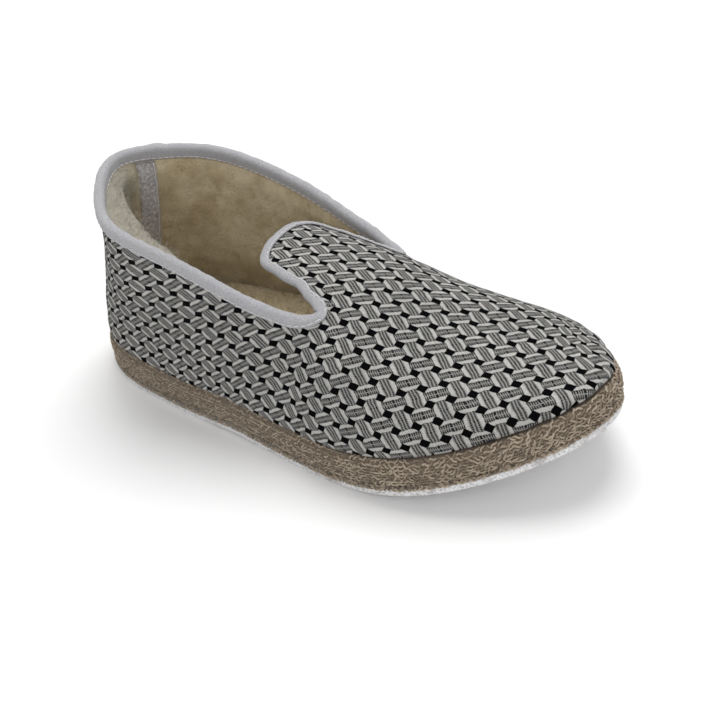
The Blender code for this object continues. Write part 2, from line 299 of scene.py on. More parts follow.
def gridNormals(grid, closed=True):
    if closed:
        across = np.roll(grid, -1, axis=0) - np.roll(grid, 1, axis=0)
    else:
        across = np.gradient(grid, axis=0)
    return unit(np.cross(across, np.gradient(grid, axis=1)))


def upperNormals(grid, parts=90, rounds=3, alike=0.85):
    # where neighbouring sections cross, the normal is taken from those around it
    normal = gridNormals(grid)
    reach = len(grid) // parts
    for turn in range(rounds):
        near = unit(sum(np.roll(normal, step * reach, axis=0) for step in (-2, -1, 1, 2)))
        crossed = (near * normal).sum(-1) < alike
        normal = np.where(crossed[..., None], near, normal)
    return normal


def wholeFace(piece):
    # stations round the upper, shares of its height, the face there, its normals, ways from foot and rim
    stations = np.arange(piece["columns"] + 1) * sectionCount / piece["columns"]
    shares = np.linspace(0.0, 1.0, piece["rows"])
    face = evenFace(stations[:-1], shares[:-1], [0.0])
    fromFoot = footDistance(face)
    return stations, shares, face, upperNormals(face), fromFoot, fromFoot[:, -1:] - fromFoot


def lumps(points, size, seed, count=9, shortest=0.7, longest=1.6, turn=6.28, level=1.2):
    # soft uneven field between about -1 and 1
    rng = np.random.default_rng(seed)
    total = np.zeros(points.shape[:-1])
    for k in range(count):
        wave = unit(rng.normal(size=3)) * 2.0 * math.pi / (size * rng.uniform(shortest, longest))
        total += np.sin(points @ wave + rng.uniform(0.0, turn))
    return total / math.sqrt(count) / level


def uneven(points, waves):
    # waves: height, size and seed of each
    return sum(high * lumps(points, size, seed) for high, size, seed in waves)


# Meshes

def newObject(name, data):
    thing = bpy.data.objects.new(name, data)
    scene.collection.objects.link(thing)
    return thing


def smoothFaces(mesh):
    mesh.polygons.foreach_set("use_smooth", np.ones(len(mesh.polygons), dtype=bool))


def newMesh(name, points, faces):
    mesh = bpy.data.meshes.new(name)
    mesh.from_pydata((points * mm).tolist(), [], faces)
    smoothFaces(mesh)
    mesh.update()
    return mesh


def setField(thing, name, values):
    kind, key = ("FLOAT_VECTOR", "vector") if values.ndim == 2 else ("FLOAT", "value")
    own = thing.data.attributes.new(name, kind, "POINT")
    own.data.foreach_set(key, values.astype(np.float32).ravel())


def vertexField(thing, key):
    values = np.zeros(len(thing.data.vertices) * 3)
    thing.data.vertices.foreach_get(key, values)
    return values.reshape(-1, 3)


def gridFaces(n, m, closedSection):
    i = np.arange(n)[:, None]
    k = np.arange(m if closedSection else m - 1)[None, :]
    j, l = (i + 1) % n, (k + 1) % m
    return np.stack([i * m + k, j * m + k, j * m + l, i * m + l], axis=2).reshape(-1, 4).tolist()


def quadCorners(grid):
    return [grid[:-1, :-1], grid[1:, :-1], grid[1:, 1:], grid[:-1, 1:]]


def gridObject(name, grid, uvGrid=None, uvName=""):
    # closed sections, joined all round; the map has one more row and column than the grid
    mesh = newMesh(name, grid.reshape(-1, 3), gridFaces(*grid.shape[:2], True))
    if uvGrid is not None:
        corners = np.stack(quadCorners(uvGrid), axis=2).astype(np.float32)
        mesh.uv_layers.new(name=uvName).data.foreach_set("uv", corners.ravel())
    return newObject(name, mesh)


def slabLoops(path, side, low, thick, thickToe, count):
    # side rows: share of the height, inset at the heel, inset at the toe; points lie closer at heel and toe
    share = np.linspace(0.0, 1.0, count // 2 + 1)
    share = 0.5 * share + 0.25 * (1.0 - np.cos(math.pi * share))
    plain, inward = path(np.concatenate([share * toeAt, toeAt + share[1:-1] * (loopEnd - toeAt)]))
    toeShare = smoothStep(*last["taperX"], plain[:, 0])
    tall = between(thick, thickToe, toeShare)
    loops = []
    for height, atHeel, atToe in side:
        points = plain + inward * between(atHeel, atToe, toeShare)[:, None]
        z = floorLine(points[:, 0]) + low + tall * height
        loops.append(np.column_stack([points[:, 0] + last["lineX"], points[:, 1] + last["lineY"], z]))
    return np.stack(loops, axis=1)


def finerSide(table, rows):
    height, atHeel, atToe = np.array(table).T
    finer = np.linspace(0.0, 1.0, rows)
    return list(zip(finer, np.interp(finer, height, atHeel), np.interp(finer, height, atToe)))


def slabObject(name, loops, steps, crown=None):
    # side loops stacked upwards, with the top and the underside spanned across
    n, m = loops.shape[:2]
    half = n // 2
    points = [loops.reshape(-1, 3)]
    faces = gridFaces(n, m, False)
    total = n * m
    share = np.linspace(0.0, 1.0, steps + 1)[1:-1]
    for row, up in ((0, False), (m - 1, True)):
        own = np.zeros((half + 1, steps + 1), dtype=int)
        own[:, 0] = [(-i % n) * m + row for i in range(half + 1)]
        own[:, -1] = [i * m + row for i in range(half + 1)]
        for i in range(1, half):
            inside = between(loops[-i % n, row], loops[i, row], share[:, None])
            if crown is not None and up:
                inside[:, 2] += crown(inside, share)
            points.append(inside)
            own[i, 1:-1] = total + np.arange(steps - 1)
            total += steps - 1
        own[0, 1:-1] = own[0, 0]
        own[half, 1:-1] = own[half, 0]
        for ring in np.stack(quadCorners(own)[:1] + quadCorners(own)[:0:-1], axis=2).reshape(-1, 4).tolist():
            ring = list(dict.fromkeys(ring))
            if len(ring) > 2:
                faces.append(ring if up else ring[::-1])
    return newObject(name, newMesh(name, np.concatenate(points), faces))


# Nodes

class Field:
    # an output of a node; sums written with it become math nodes of its tree

    def __init__(self, tree, socket):
        self.tree = tree
        self.socket = socket

    def __getitem__(self, key):
        return Field(self.tree, self.socket.node.outputs[key])

    def math(self, operation, *others):
        return put(self.tree, "ShaderNodeMath", [self, *others], operation=operation)

    def __add__(self, other):
        return self.math("ADD", other)

    def __sub__(self, other):
        return self.math("SUBTRACT", other)

    def __rsub__(self, other):
        return put(self.tree, "ShaderNodeMath", [other, self], operation="SUBTRACT")

    def __mul__(self, other):
        return self.math("MULTIPLY", other)

    def __mod__(self, other):
        return self.math("FLOORED_MODULO", other)

    def __gt__(self, other):
        return self.math("GREATER_THAN", other)

    def __abs__(self):
        return self.math("ABSOLUTE")


def feed(tree, socket, value):
    if isinstance(value, Field):
        tree.links.new(value.socket, socket)
    else:
        socket.default_value = value


def put(tree, kind, sockets=(), out=0, **settings):
    # a node with its settings, and a value or link for each socket given by name or in order
    node = tree.nodes.new(kind)
    for key, value in settings.items():
        setattr(node, key, value)
    for key, value in sockets.items() if isinstance(sockets, dict) else enumerate(sockets):
        feed(tree, node.inputs[key], value)
    return Field(tree, node.outputs[out])


def chosen(switch, atZero, atOne):
    return atZero + switch * (atOne - atZero)


def spread(value, fromLow, fromHigh, toLow=0.0, toHigh=1.0):
    sockets = [value, fromLow, fromHigh, toLow, toHigh]
    return put(value.tree, "ShaderNodeMapRange", sockets, interpolation_type="SMOOTHSTEP")


def mixColour(factor, first, second, blend="MIX"):
    tree = next(value.tree for value in (factor, first, second) if isinstance(value, Field))
    first, second = (value if isinstance(value, Field) else (*value, 1.0) for value in (first, second))
    sockets = {0: factor, 6: first, 7: second}
    return put(tree, "ShaderNodeMix", sockets, 2, data_type="RGBA", blend_type=blend)


def ramp(factor, piece, *tones):
    # the piece's tones at its own stops
    made = put(factor.tree, "ShaderNodeValToRGB", [factor])
    elements = made.socket.node.color_ramp.elements
    while len(elements) < len(tones):
        elements.new(0.5)
    for element, place, tone in zip(elements, piece["stops"], tones):
        element.position = place
        element.color = (*piece[tone], 1.0)
    return made


def objectPlace(tree):
    return put(tree, "ShaderNodeTexCoord", out=3)


def split(value):
    return put(value.tree, "ShaderNodeSeparateXYZ", [value])


def noise(tree, scale):
    sockets = {"Vector": objectPlace(tree), "Scale": scale, "Detail": 2.0, "Roughness": 0.55}
    return put(tree, "ShaderNodeTexNoise", sockets)


def ownShade(tree):
    return put(tree, "ShaderNodeAttribute", out="Fac", attribute_name="shade")


def newMaterial(name, piece):
    material = bpy.data.materials.new(name)
    material.use_nodes = True
    looks = material.node_tree.nodes["Principled BSDF"].inputs
    looks["Roughness"].default_value = piece["rough"]
    looks["Sheen Weight"].default_value = piece.get("sheen", 0.0)
    looks["Sheen Roughness"].default_value = 0.6
    looks["Specular IOR Level"].default_value = piece.get("specular", 0.25)
    return material, material.node_tree


def paint(material, colour, height=None, bump=None):
    # base colour, and a bump with its strength and its depth in metres
    tree = material.node_tree
    looks = tree.nodes["Principled BSDF"].inputs
    feed(tree, looks["Base Color"], colour)
    if bump:
        surface = {"Strength": bump[0], "Distance": bump[1], "Height": height}
        feed(tree, looks["Normal"], put(tree, "ShaderNodeBump", surface))


def newGroup(name, kind, inputs, outputs):
    # sockets by name: a number gives its default and its kind, a word the kind alone
    group = bpy.data.node_groups.new(name, kind)
    for key, value in inputs.items():
        word = value if isinstance(value, str) else type(value).__name__.capitalize()
        socket = group.interface.new_socket(key, in_out="INPUT", socket_type="NodeSocket" + word)
        if word != value:
            socket.default_value = value
    for key, word in outputs.items():
        group.interface.new_socket(key, in_out="OUTPUT", socket_type="NodeSocket" + word)
    return group, put(group, "NodeGroupInput"), group.nodes.new("NodeGroupOutput").inputs


def runNodes(thing, group, piece, material):
    # grows the piece with its node tree and its own values, then keeps the result as a plain mesh
    grow = thing.modifiers.new("grow", "NODES")
    grow.node_group = group
    for item in group.interface.items_tree:
        if item.in_out == "INPUT" and item.name != "Geometry":
            grow[item.identifier] = material if item.name == "Material" else piece[item.name.lower()]
    graph = bpy.context.evaluated_depsgraph_get()
    graph.update()
    made = bpy.data.meshes.new_from_object(thing.evaluated_get(graph), depsgraph=graph)
    thing.modifiers.remove(grow)
    old = thing.data
    thing.data = made
    made.name = old.name
    bpy.data.meshes.remove(old)
    smoothFaces(made)
    return thing


# yarn and fibre grain shared by the materials
grainGroup, entry, leave = newGroup(
    "fibreGrain", "ShaderNodeTree",
    {"Place": "Vector", "Fineness": 900.0, "Patch": 60.0}, {"Fibre": "Float", "Mottle": "Float"},
)
for key, scaleKey, detail in (("Fibre", "Fineness", 4.0), ("Mottle", "Patch", 2.0)):
    sockets = {"Vector": entry["Place"], "Scale": entry[scaleKey], "Detail": detail}
    feed(grainGroup, leave[key], put(grainGroup, "ShaderNodeTexNoise", sockets))


def grainOf(tree, piece):
    sockets = [objectPlace(tree), *piece["grain"]]
    return put(tree, "ShaderNodeGroup", sockets, node_tree=grainGroup)


# steps that both geometry trees take

def vector(group, x, y, z):
    return put(group, "ShaderNodeCombineXYZ", [x, y, z])


def ownField(group, name, kind):
    return put(group, "GeometryNodeInputNamedAttribute", [name], data_type=kind)


def tubeOn(curve, sides, thickness):
    ring = {"Resolution": sides, "Radius": thickness}
    ring = put(curve.tree, "GeometryNodeCurvePrimitiveCircle", ring)
    sockets = {"Curve": curve, "Profile Curve": ring, "Fill Caps": True}
    return put(curve.tree, "GeometryNodeCurveToMesh", sockets)


def spun(rotation, low, high, seed):
    # turned further by a random amount between two sets of angles
    sockets = {"Min": low, "Max": high, "Seed": seed}
    turn = put(rotation.tree, "FunctionNodeRandomValue", sockets, "Value", data_type="FLOAT_VECTOR")
    turn = put(rotation.tree, "FunctionNodeEulerToRotation", [turn])
    return put(rotation.tree, "FunctionNodeRotateRotation", [rotation, turn], rotation_space="LOCAL")


def chance(group, low, high):
    made = put(group, "FunctionNodeRandomValue", data_type="FLOAT").socket.node
    bounds = [socket for socket in made.inputs if socket.enabled and socket.type == "VALUE"]
    for socket, value in zip(bounds, (low, high)):
        feed(group, socket, value)
    return Field(group, next(socket for socket in made.outputs if socket.enabled))


def shaded(geometry, domain, value):
    sockets = {"Geometry": geometry, "Name": "shade", "Value": value}
    return put(geometry.tree, "GeometryNodeStoreNamedAttribute", sockets, data_type="FLOAT", domain=domain)


def strewn(points, instance, rotation, scale):
    # one copy on each point with a shade of its own, made real
    sockets = {"Points": points, "Instance": instance, "Rotation": rotation, "Scale": scale}
    copies = put(points.tree, "GeometryNodeInstanceOnPoints", sockets)
    copies = shaded(copies, "INSTANCE", chance(points.tree, 0.0, 1.0))
    return put(points.tree, "GeometryNodeRealizeInstances", [copies])


def dressed(group, entry, leave, geometry):
    sockets = {"Geometry": geometry, "Material": entry["Material"]}
    feed(group, leave["Geometry"], put(group, "GeometryNodeSetMaterial", sockets))
    return group


# one fibre: bow as shares of its curl and length, how much it thins, range of sizes; shade of the base
fibreShape = {
    "points": 2, "sides": 3, "bow": -0.25, "bowAt": 0.6, "thins": -0.75, "short": 0.55, "long": 1.25,
    "baseShade": 0.3, "fullTurn": 6.283,
}


def pileGroup():
    # short curved fibres set on a surface where its pile attribute allows them
    group, entry, leave = newGroup("fibrePile", "GeometryNodeTree", {
        "Geometry": "Geometry", "Density": 100000.0, "Length": 0.006, "Thickness": 0.0003,
        "Curl": 0.6, "Lean": 0.9, "Seed": 1, "Material": "Material"}, {"Geometry": "Geometry"})
    density = entry["Density"] * ownField(group, "pile", "FLOAT")
    sockets = {"Mesh": entry["Geometry"], "Density": density, "Seed": entry["Seed"]}
    scatter = put(group, "GeometryNodeDistributePointsOnFaces", sockets)
    side = entry["Length"] * entry["Curl"]
    end = vector(group, side, 0.0, entry["Length"])
    middle = vector(group, side * fibreShape["bow"], 0.0, entry["Length"] * fibreShape["bowAt"])
    sockets = {"Resolution": fibreShape["points"], "Start": (0.0, 0.0, 0.0), "Middle": middle, "End": end}
    fibre = put(group, "GeometryNodeCurveQuadraticBezier", sockets)
    taper = put(group, "GeometryNodeSplineParameter", out="Factor") * fibreShape["thins"] + 1.0
    fibre = put(group, "GeometryNodeSetCurveRadius", {"Curve": fibre, "Radius": taper})
    lean, leanBack = entry["Lean"], entry["Lean"] * -1.0
    rotation = spun(scatter["Rotation"], vector(group, leanBack, leanBack, 0.0),
                    vector(group, lean, lean, fibreShape["fullTurn"]), entry["Seed"])
    tube = tubeOn(fibre, fibreShape["sides"], entry["Thickness"])
    size = chance(group, fibreShape["short"], fibreShape["long"])
    fibres = strewn(scatter["Points"], tube, rotation, size)
    base = shaded(entry["Geometry"], "POINT", fibreShape["baseShade"])
    joined = put(group, "GeometryNodeJoinGeometry", [base])
    feed(group, joined.socket.node.inputs[0], fibres)
    return dressed(group, entry, leave, joined)


def rowGroup(name, handles, sides, points=5, tilt=0.4):
    # one short length of yarn or thread on every point, turned to the point's own directions
    group, entry, leave = newGroup(name, "GeometryNodeTree", {
        "Geometry": "Geometry", "Length": 0.003, "Thickness": 0.0004, "Turn": 0.0,
        "Uneven": 0.1, "Seed": 1, "Material": "Material"}, {"Geometry": "Geometry"})
    sockets = {"Resolution": points, **dict(zip(("Start", "Start Handle", "End Handle", "End"), handles))}
    yarn = put(group, "GeometryNodeCurvePrimitiveBezierSegment", sockets, mode="POSITION")
    sockets = {"Geometry": yarn, "Scale": vector(group, *[entry["Length"]] * 3)}
    yarn = put(group, "GeometryNodeTransform", sockets)
    ways = [ownField(group, key, "FLOAT_VECTOR") for key in ("outDir", "runDir")]
    faced = put(group, "FunctionNodeAxesToRotation", ways, primary_axis="Z", secondary_axis="X")
    turn, slight = entry["Turn"], entry["Turn"] * tilt
    slightBack = slight * -1.0
    rotation = spun(faced, vector(group, slightBack, slightBack, turn * -1.0),
                    vector(group, slight, slight, turn), entry["Seed"])
    size = chance(group, 1.0 - entry["Uneven"], entry["Uneven"] + 1.0) * ownField(group, "size", "FLOAT")
    places = put(group, "GeometryNodeMeshToPoints", [entry["Geometry"]])
    lengths = strewn(places, tubeOn(yarn, sides, entry["Thickness"]), rotation, size)
    return dressed(group, entry, leave, lengths)


fibrePile = pileGroup()
print("node trees built")

# Cloth: flat strips in a basket weave, cut on the bias in one piece and drawn over the last. Values from
# gapReach on, dipAt and reliefGap are in strips; toeIn, toeOut and gatherFrom count sections. The hem and
# the back's tuck say how far under and how far down.
cloth = {
    "columns": 672, "rows": 96, "backRows": 12, "thick": 1.3, "rough": 0.92, "specular": 0.04,
    "flatColumns": 84, "flatRows": 15, "flatRounds": 150, "pullWithin": (0.05, 10.0),
    "foldHeel": 60.0, "foldBack": 150.0, "foldOut": 45.0, "foldHigh": 90.0,
    "rowPitch": 12.5, "startRow": 0.3, "quarterMore": 2.5, "quarterX": (-60.0, 20.0), "bow": 1.0,
    "columnPitch": 8.3, "startColumn": 0.2, "sideSpread": 0.4, "toeSpread": 1.8, "spreadX": (10.0, 150.0),
    "turn": 2.4, "turnEase": 0.5,
    "relief": 0.10, "reliefLevel": 0.6, "crown": 0.6, "dip": 0.7, "dipAt": (0.26, 0.52),
    "reliefGap": (-0.06, 0.02), "creaseFoot": (4.0, 14.0), "creaseRim": (5.0, 12.0),
    "waves": ((0.22, 26.0, 5),), "wavesRim": (3.0, 12.0), "edgeSwell": 0.7, "edgeAt": 3.0, "edgeTall": 5.5,
    "toeIn": (13.6, 15.2), "toeOut": (17.5, 19.5), "tight": 17.0, "tightTall": 16.0, "tightRow": 12,
    "toeSwell": 3.2, "swellAt": 1.0, "swellTall": 7.0, "toeDrop": 5.5, "dropTall": 6.0,
    "gatherFrom": (11.2, 13.2), "gathers": 1.9, "gather": 0.45, "gatherTall": 9.0,
    "hemUnder": (1.2, 1.45), "hemRoll": (0.35, 0.9), "backTuck": (0.4, 0.6),
    "ecruLight": (0.60, 0.59, 0.567), "ecruShade": (0.39, 0.384, 0.368), "grey": (0.165, 0.163, 0.157),
    "black": (0.002, 0.002, 0.0025), "grain": (1500.0, 70.0), "bump": (0.30, 0.0004),
    "wanderFine": (260.0, 330.0),
    "fibreSoft": (0.40, 0.64), "fibreShare": 0.32, "coreShare": 0.62, "hatchShare": 0.95, "endShare": 0.6,
    "bumpCrown": 2.4, "bumpLow": 0.25, "ribs": 92.0, "ribHigh": 0.06, "fibreHigh": 0.25, "hatchDeep": 0.18,
    "ticks": 9.5, "tickSoft": (0.45, 0.63), "dashLow": 0.6, "borderShare": 0.75,
    "gapReach": 0.295, "floatPast": 0.075, "coreHalf": 0.235, "coreMore": 0.015, "wander": 0.16,
    "coreSoft": (-0.012, 0.015), "holeSoft": (-0.012, 0.008),
    "endSoft": (0.455, 0.495), "bumpEnd": (0.34, 0.52), "lineStep": 0.078, "lineSoft": (0.032, 0.054),
    "borderAt": 0.165, "borderSoft": (0.016, 0.034), "middleSoft": (0.012, 0.035),
}


def layFlat(face, rounds):
    # the cloth as it was cut: each small triangle keeps its shape as nearly as it can, cut down the heel
    n, m = face.shape[:2]
    a, b, c, d = (corner.ravel() for corner in quadCorners(np.arange(n * m).reshape(n, m)))
    tri = np.concatenate([np.stack([a, b, c], 1), np.stack([a, c, d], 1)])
    points = face.reshape(-1, 3)
    one = points[tri[:, 1]] - points[tri[:, 0]]
    two = points[tri[:, 2]] - points[tri[:, 0]]
    ahead = unit(one)
    square = np.cross(unit(np.cross(one, two)), ahead)
    own = np.zeros((len(tri), 3, 2))
    own[:, 1, 0] = (one * ahead).sum(1)
    own[:, 2, 0] = (two * ahead).sum(1)
    own[:, 2, 1] = (two * square).sum(1)
    stiff = np.zeros((len(points), len(points)))
    pulls = []
    for k in range(3):
        i, j = (k + 1) % 3, (k + 2) % 3
        p, q = own[:, i] - own[:, k], own[:, j] - own[:, k]
        w = np.clip((p * q).sum(1) / (p[:, 0] * q[:, 1] - p[:, 1] * q[:, 0]), *cloth["pullWithin"])
        pulls.append((tri[:, i], tri[:, j], w[:, None], own[:, i] - own[:, j]))
        for first, second, sign in ((i, j, -w), (j, i, -w), (i, i, w), (j, j, w)):
            np.add.at(stiff, (tri[:, first], tri[:, second]), sign)
    stiff[0] = 0.0
    stiff[0, 0] = 1.0
    inverse = np.linalg.inv(stiff)
    # first guess: the side walls folded out level with the vamp
    side = np.where(np.arange(n) * 2 < n, -1.0, 1.0)[:, None]
    walked = walkedAlong(face[:, 0, :2])
    heel = np.minimum(walked, walked[-1] - walked)[:, None]
    atHeel = heel < cloth["foldHeel"]
    out = np.where(atHeel, cloth["foldOut"], np.abs(face[:, :, 1] - last["lineY"]))
    flat = np.zeros((n, m, 2))
    flat[:, :, 0] = np.where(atHeel, heel - cloth["foldBack"], face[:, :, 0])
    flat[:, :, 1] = side * (out + cloth["foldHigh"] - face[:, :, 2])
    flat = flat.reshape(-1, 2)
    for turn in range(rounds):
        cosine, sine = 0.0, 0.0
        for i, j, w, edge in pulls:
            now = flat[i] - flat[j]
            cosine = cosine + (w * edge * now).sum(1)
            sine = sine + w[:, 0] * (edge[:, 0] * now[:, 1] - edge[:, 1] * now[:, 0])
        size = np.hypot(cosine, sine)
        cosine, sine = cosine / size, sine / size
        right = np.zeros_like(flat)
        for i, j, w, edge in pulls:
            turnedX = cosine * edge[:, 0] - sine * edge[:, 1]
            turnedY = sine * edge[:, 0] + cosine * edge[:, 1]
            turned = np.stack([turnedX, turnedY], 1) * w
            np.add.at(right, i, turned)
            np.add.at(right, j, -turned)
        right[0] = flat[0]
        flat = inverse @ right
    flat = flat.reshape(n, m, 2)
    # the middle of the vamp becomes the first axis
    tip, toe = flat[n // 2, -1], flat[n // 2, 0]
    ahead = (toe - tip) / np.linalg.norm(toe - tip)
    flat = flat - tip
    return np.stack([flat @ ahead, flat @ np.array([-ahead[1], ahead[0]])], axis=2)


def areaOf(flat):
    corners = quadCorners(flat)
    area = 0.0
    for k in (1, 2):
        one, two = corners[k] - corners[0], corners[k + 1] - corners[0]
        area += 0.5 * np.abs(one[..., 0] * two[..., 1] - one[..., 1] * two[..., 0]).sum()
    return area


def stripsAt(flat):
    # strips counted each way on the laid-out cloth, from its rows and columns of gaps
    x, y = flat[..., 0], flat[..., 1]
    quarter = 1.0 - smoothStep(*cloth["quarterX"], x)
    row = cloth["startRow"] + x / (cloth["rowPitch"] + cloth["quarterMore"] * quarter)
    row = row + cloth["bow"] * (1.0 - quarter) * (y / 100.0) ** 2
    wide = cloth["columnPitch"] + cloth["sideSpread"] * np.abs(y) / 100.0
    wide = wide + cloth["toeSpread"] * smoothStep(*cloth["spreadX"], x)
    lean = cloth["startColumn"] - cloth["turn"] * x / 100.0 + cloth["turnEase"] * (x / 100.0) ** 2
    column = lean + y / wide
    return np.stack([row + column, row - column], axis=-1)


def weaveRelief(strips):
    # height of the woven strips: crowned where a strip floats, dipping at its ends, low in the diamond gaps
    inCell = np.abs(strips - np.floor(strips) - 0.5)
    odd = np.mod(np.floor(strips).sum(-1), 2.0) > 0.5
    along = np.where(odd, inCell[..., 1], inCell[..., 0])
    across = np.where(odd, inCell[..., 0], inCell[..., 1])
    gap = smoothStep(*cloth["reliefGap"], 1.0 - cloth["gapReach"] - along - across)
    # the end of each float runs a little way into the next cell
    past = across > 0.5 - cloth["floatPast"]
    along, across = np.where(past, 1.0 - across, along), np.where(past, along, across)
    dipFrom, dipTo = (at + cloth["floatPast"] for at in cloth["dipAt"])
    dip = 1.0 - cloth["dip"] * smoothStep(dipFrom, dipTo, along)
    return (1.0 - cloth["crown"] * (2.0 * across) ** 2) * dip * gap


coarseStations = np.linspace(0.0, sectionCount, cloth["flatColumns"] + 1)
coarseShares = np.linspace(0.0, 1.0, cloth["flatRows"] + 1)
laidOut = layFlat(evenFace(coarseStations, coarseShares[:-1], [0.0]), cloth["flatRounds"])
flatArea = areaOf(laidOut)


def laidAt(stations, shares):
    rows = [[np.interp(shares, coarseShares, line[:, k]) for line in laidOut] for k in range(2)]
    rows = np.stack(rows, axis=-1).reshape(len(laidOut), -1)
    return onSpline(makeSpline(coarseStations, rows, False), stations).reshape(len(stations), len(shares), 2)


# soft creases: start and end on the laid-out cloth, half width, depth below the face
creases = (
    ("ballOuter", (62.0, -86.0), (78.0, -38.0), 7.0, 0.55),
    ("ballInner", (66.0, 84.0), (80.0, 40.0), 7.0, 0.55),
    ("vampOuter", (38.0, -80.0), (30.0, -50.0), 6.0, 0.45),
    ("vampInner", (38.0, 80.0), (30.0, 50.0), 6.0, 0.45),
    ("quarterOuter", (-58.0, -95.0), (-40.0, -52.0), 8.0, 0.5),
    ("quarterInner", (-58.0, 92.0), (-40.0, 50.0), 8.0, 0.5),
    ("heelOuter", (-100.0, -98.0), (-92.0, -40.0), 7.0, 0.6),
    ("heelInner", (-100.0, 95.0), (-92.0, 40.0), 7.0, 0.6),
    ("instepOuter", (8.0, -46.0), (40.0, -26.0), 6.0, -0.35),
    ("instepInner", (8.0, 46.0), (40.0, 26.0), 6.0, -0.35),
)


def creaseDepth(flat):
    depth = np.zeros(flat.shape[:-1])
    for name, start, end, wide, deep in creases:
        start, run = np.array(start), np.array(end) - np.array(start)
        t = np.clip(((flat - start) @ run) / (run @ run), 0.0, 1.0)
        away = np.linalg.norm(flat - (start + t[..., None] * run), axis=-1)
        depth += deep * hump(away, 0.0, wide)
    return depth


stations, shares, face, normal, fromFoot, fromRim = wholeFace(cloth)
flat = laidAt(stations, shares)
# at the inner corner of the toe the weave is drawn tight, down over the band
overBand = window(stations, cloth["toeIn"], cloth["toeOut"])[:, None]
tight = cloth["tight"] * unit(flat[:, :1] - flat[:, cloth["tightRow"]:cloth["tightRow"] + 1])
strips = stripsAt(flat + tight * (overBand * hump(closedLine(fromFoot), 0.0, cloth["tightTall"]))[..., None])
overBand = overBand[:-1]
# gathers where the cloth is drawn round the toe, and the swell over the band
toeTurn = fromHeel(stations[:-1])
gather = smoothStep(*cloth["gatherFrom"], toeTurn) * np.sin(toeTurn * 2.0 * math.pi * cloth["gathers"])
creased = creaseDepth(flat[:-1]) * smoothStep(*cloth["creaseFoot"], fromFoot)
away = cloth["relief"] * (weaveRelief(strips[:-1]) - cloth["reliefLevel"])
away -= creased * smoothStep(*cloth["creaseRim"], fromRim)
away += cloth["edgeSwell"] * hump(fromFoot, cloth["edgeAt"], cloth["edgeTall"])
away += cloth["gather"] * gather[:, None] * hump(fromFoot, 0.0, cloth["gatherTall"])
away += uneven(face, cloth["waves"]) * smoothStep(*cloth["wavesRim"], fromRim)
away += cloth["toeSwell"] * overBand * hump(fromFoot, cloth["swellAt"], cloth["swellTall"])
outer = face + normal * away[..., None]
outer[..., 2] -= cloth["toeDrop"] * overBand * hump(fromFoot, 0.0, cloth["dropTall"])
level = unit(normal[:, 0] * np.array([1.0, 1.0, 0.0]))


def tucked(points, under, down):
    return points - level * under - np.array([0.0, 0.0, down])


hem = [tucked(outer[:, 0], *cloth[key]) for key in ("hemUnder", "hemRoll")]
backShares = np.linspace(len(shares) - 1, 0, cloth["backRows"]).astype(int)
back = [face[:, k] - normal[:, k] * cloth["thick"] for k in backShares]
back[-1] = tucked(back[-1], *cloth["backTuck"])
section = np.stack(hem + [outer[:, k] for k in range(len(shares))] + back, axis=1)
uvRows = [0, 0, *range(len(shares)), *backShares, 0]
upperCloth = gridObject("upper_cloth", section, strips[:, uvRows], "weave")


def weaveCells(tree):
    # where a point lies along and across its own float, whether that strip is odd, and how near a gap is
    strips = split(put(tree, "ShaderNodeUVMap", uv_map="weave"))
    counts = [strips[k] + noise(tree, fine) * cloth["wander"] - cloth["wander"] / 2.0
              for k, fine in enumerate(cloth["wanderFine"])]
    odd = (counts[0].math("FLOOR") + counts[1].math("FLOOR")) % 2.0
    inP, inQ = (abs(count.math("FRACT") - 0.5) for count in counts)
    along, across = chosen(odd, inP, inQ), chosen(odd, inQ, inP)
    past = across > 0.5 - cloth["floatPast"]
    return chosen(past, along, 1.0 - across), chosen(past, across, along), abs(odd - past), inP + inQ


def weaveHatch(along, across, odd):
    # dark core of a float, with dashed lines on the odd strips and cross ticks between borders on the others
    core = spread(odd * cloth["coreMore"] + cloth["coreHalf"] - across, *cloth["coreSoft"])
    line = spread(across.math("PINGPONG", cloth["lineStep"]), *cloth["lineSoft"], 1.0, 0.0)
    tick = spread((along * cloth["ticks"]).math("FRACT"), *cloth["tickSoft"], 1.0, 0.0)
    border = spread(abs(across - cloth["borderAt"]), *cloth["borderSoft"], cloth["borderShare"], 0.0)
    crossing = (tick * spread(across, *cloth["middleSoft"])).math("MAXIMUM", border)
    dashes = line * (tick * (1.0 - cloth["dashLow"]) + cloth["dashLow"])
    return core, chosen(odd, crossing, dashes) * core


clothMaterial, tree = newMaterial("basketCloth", cloth)
along, across, odd, toGap = weaveCells(tree)
core, hatch = weaveHatch(along, across, odd)
hole = spread(toGap, *(1.0 - cloth["gapReach"] + at for at in cloth["holeSoft"]))
# painted shade: a thin dark line where each float's end tucks under the next float
endShadow = spread(along, *(cloth["floatPast"] + at for at in cloth["endSoft"]))
grain = grainOf(tree, cloth)
fibre = spread(grain["Fibre"], *cloth["fibreSoft"]) * cloth["fibreShare"]
colour = mixColour(grain["Mottle"], cloth["ecruShade"], cloth["ecruLight"])
colour = mixColour(fibre, colour, cloth["ecruShade"], "MULTIPLY")
colour = mixColour(core * cloth["coreShare"], colour, cloth["grey"])
# the hatch lines and diamond gaps are the weave's own black; the line at the float ends is painted shade
for dark in (hatch * cloth["hatchShare"], endShadow * cloth["endShare"], hole):
    colour = mixColour(dark, colour, cloth["black"])
dipped = spread(along, *(cloth["floatPast"] + at for at in cloth["bumpEnd"]), 1.0, cloth["bumpLow"])
height = (1.0 - across.math("POWER", 2.0) * cloth["bumpCrown"]) * dipped
height = height + (across * cloth["ribs"]).math("SINE") * cloth["ribHigh"]
height = height + grain["Fibre"] * cloth["fibreHigh"] - hatch * cloth["hatchDeep"]
paint(clothMaterial, colour, height * (1.0 - hole), cloth["bump"])
upperCloth.data.materials.append(clothMaterial)
print("upper cloth:", len(upperCloth.data.polygons), "faces")

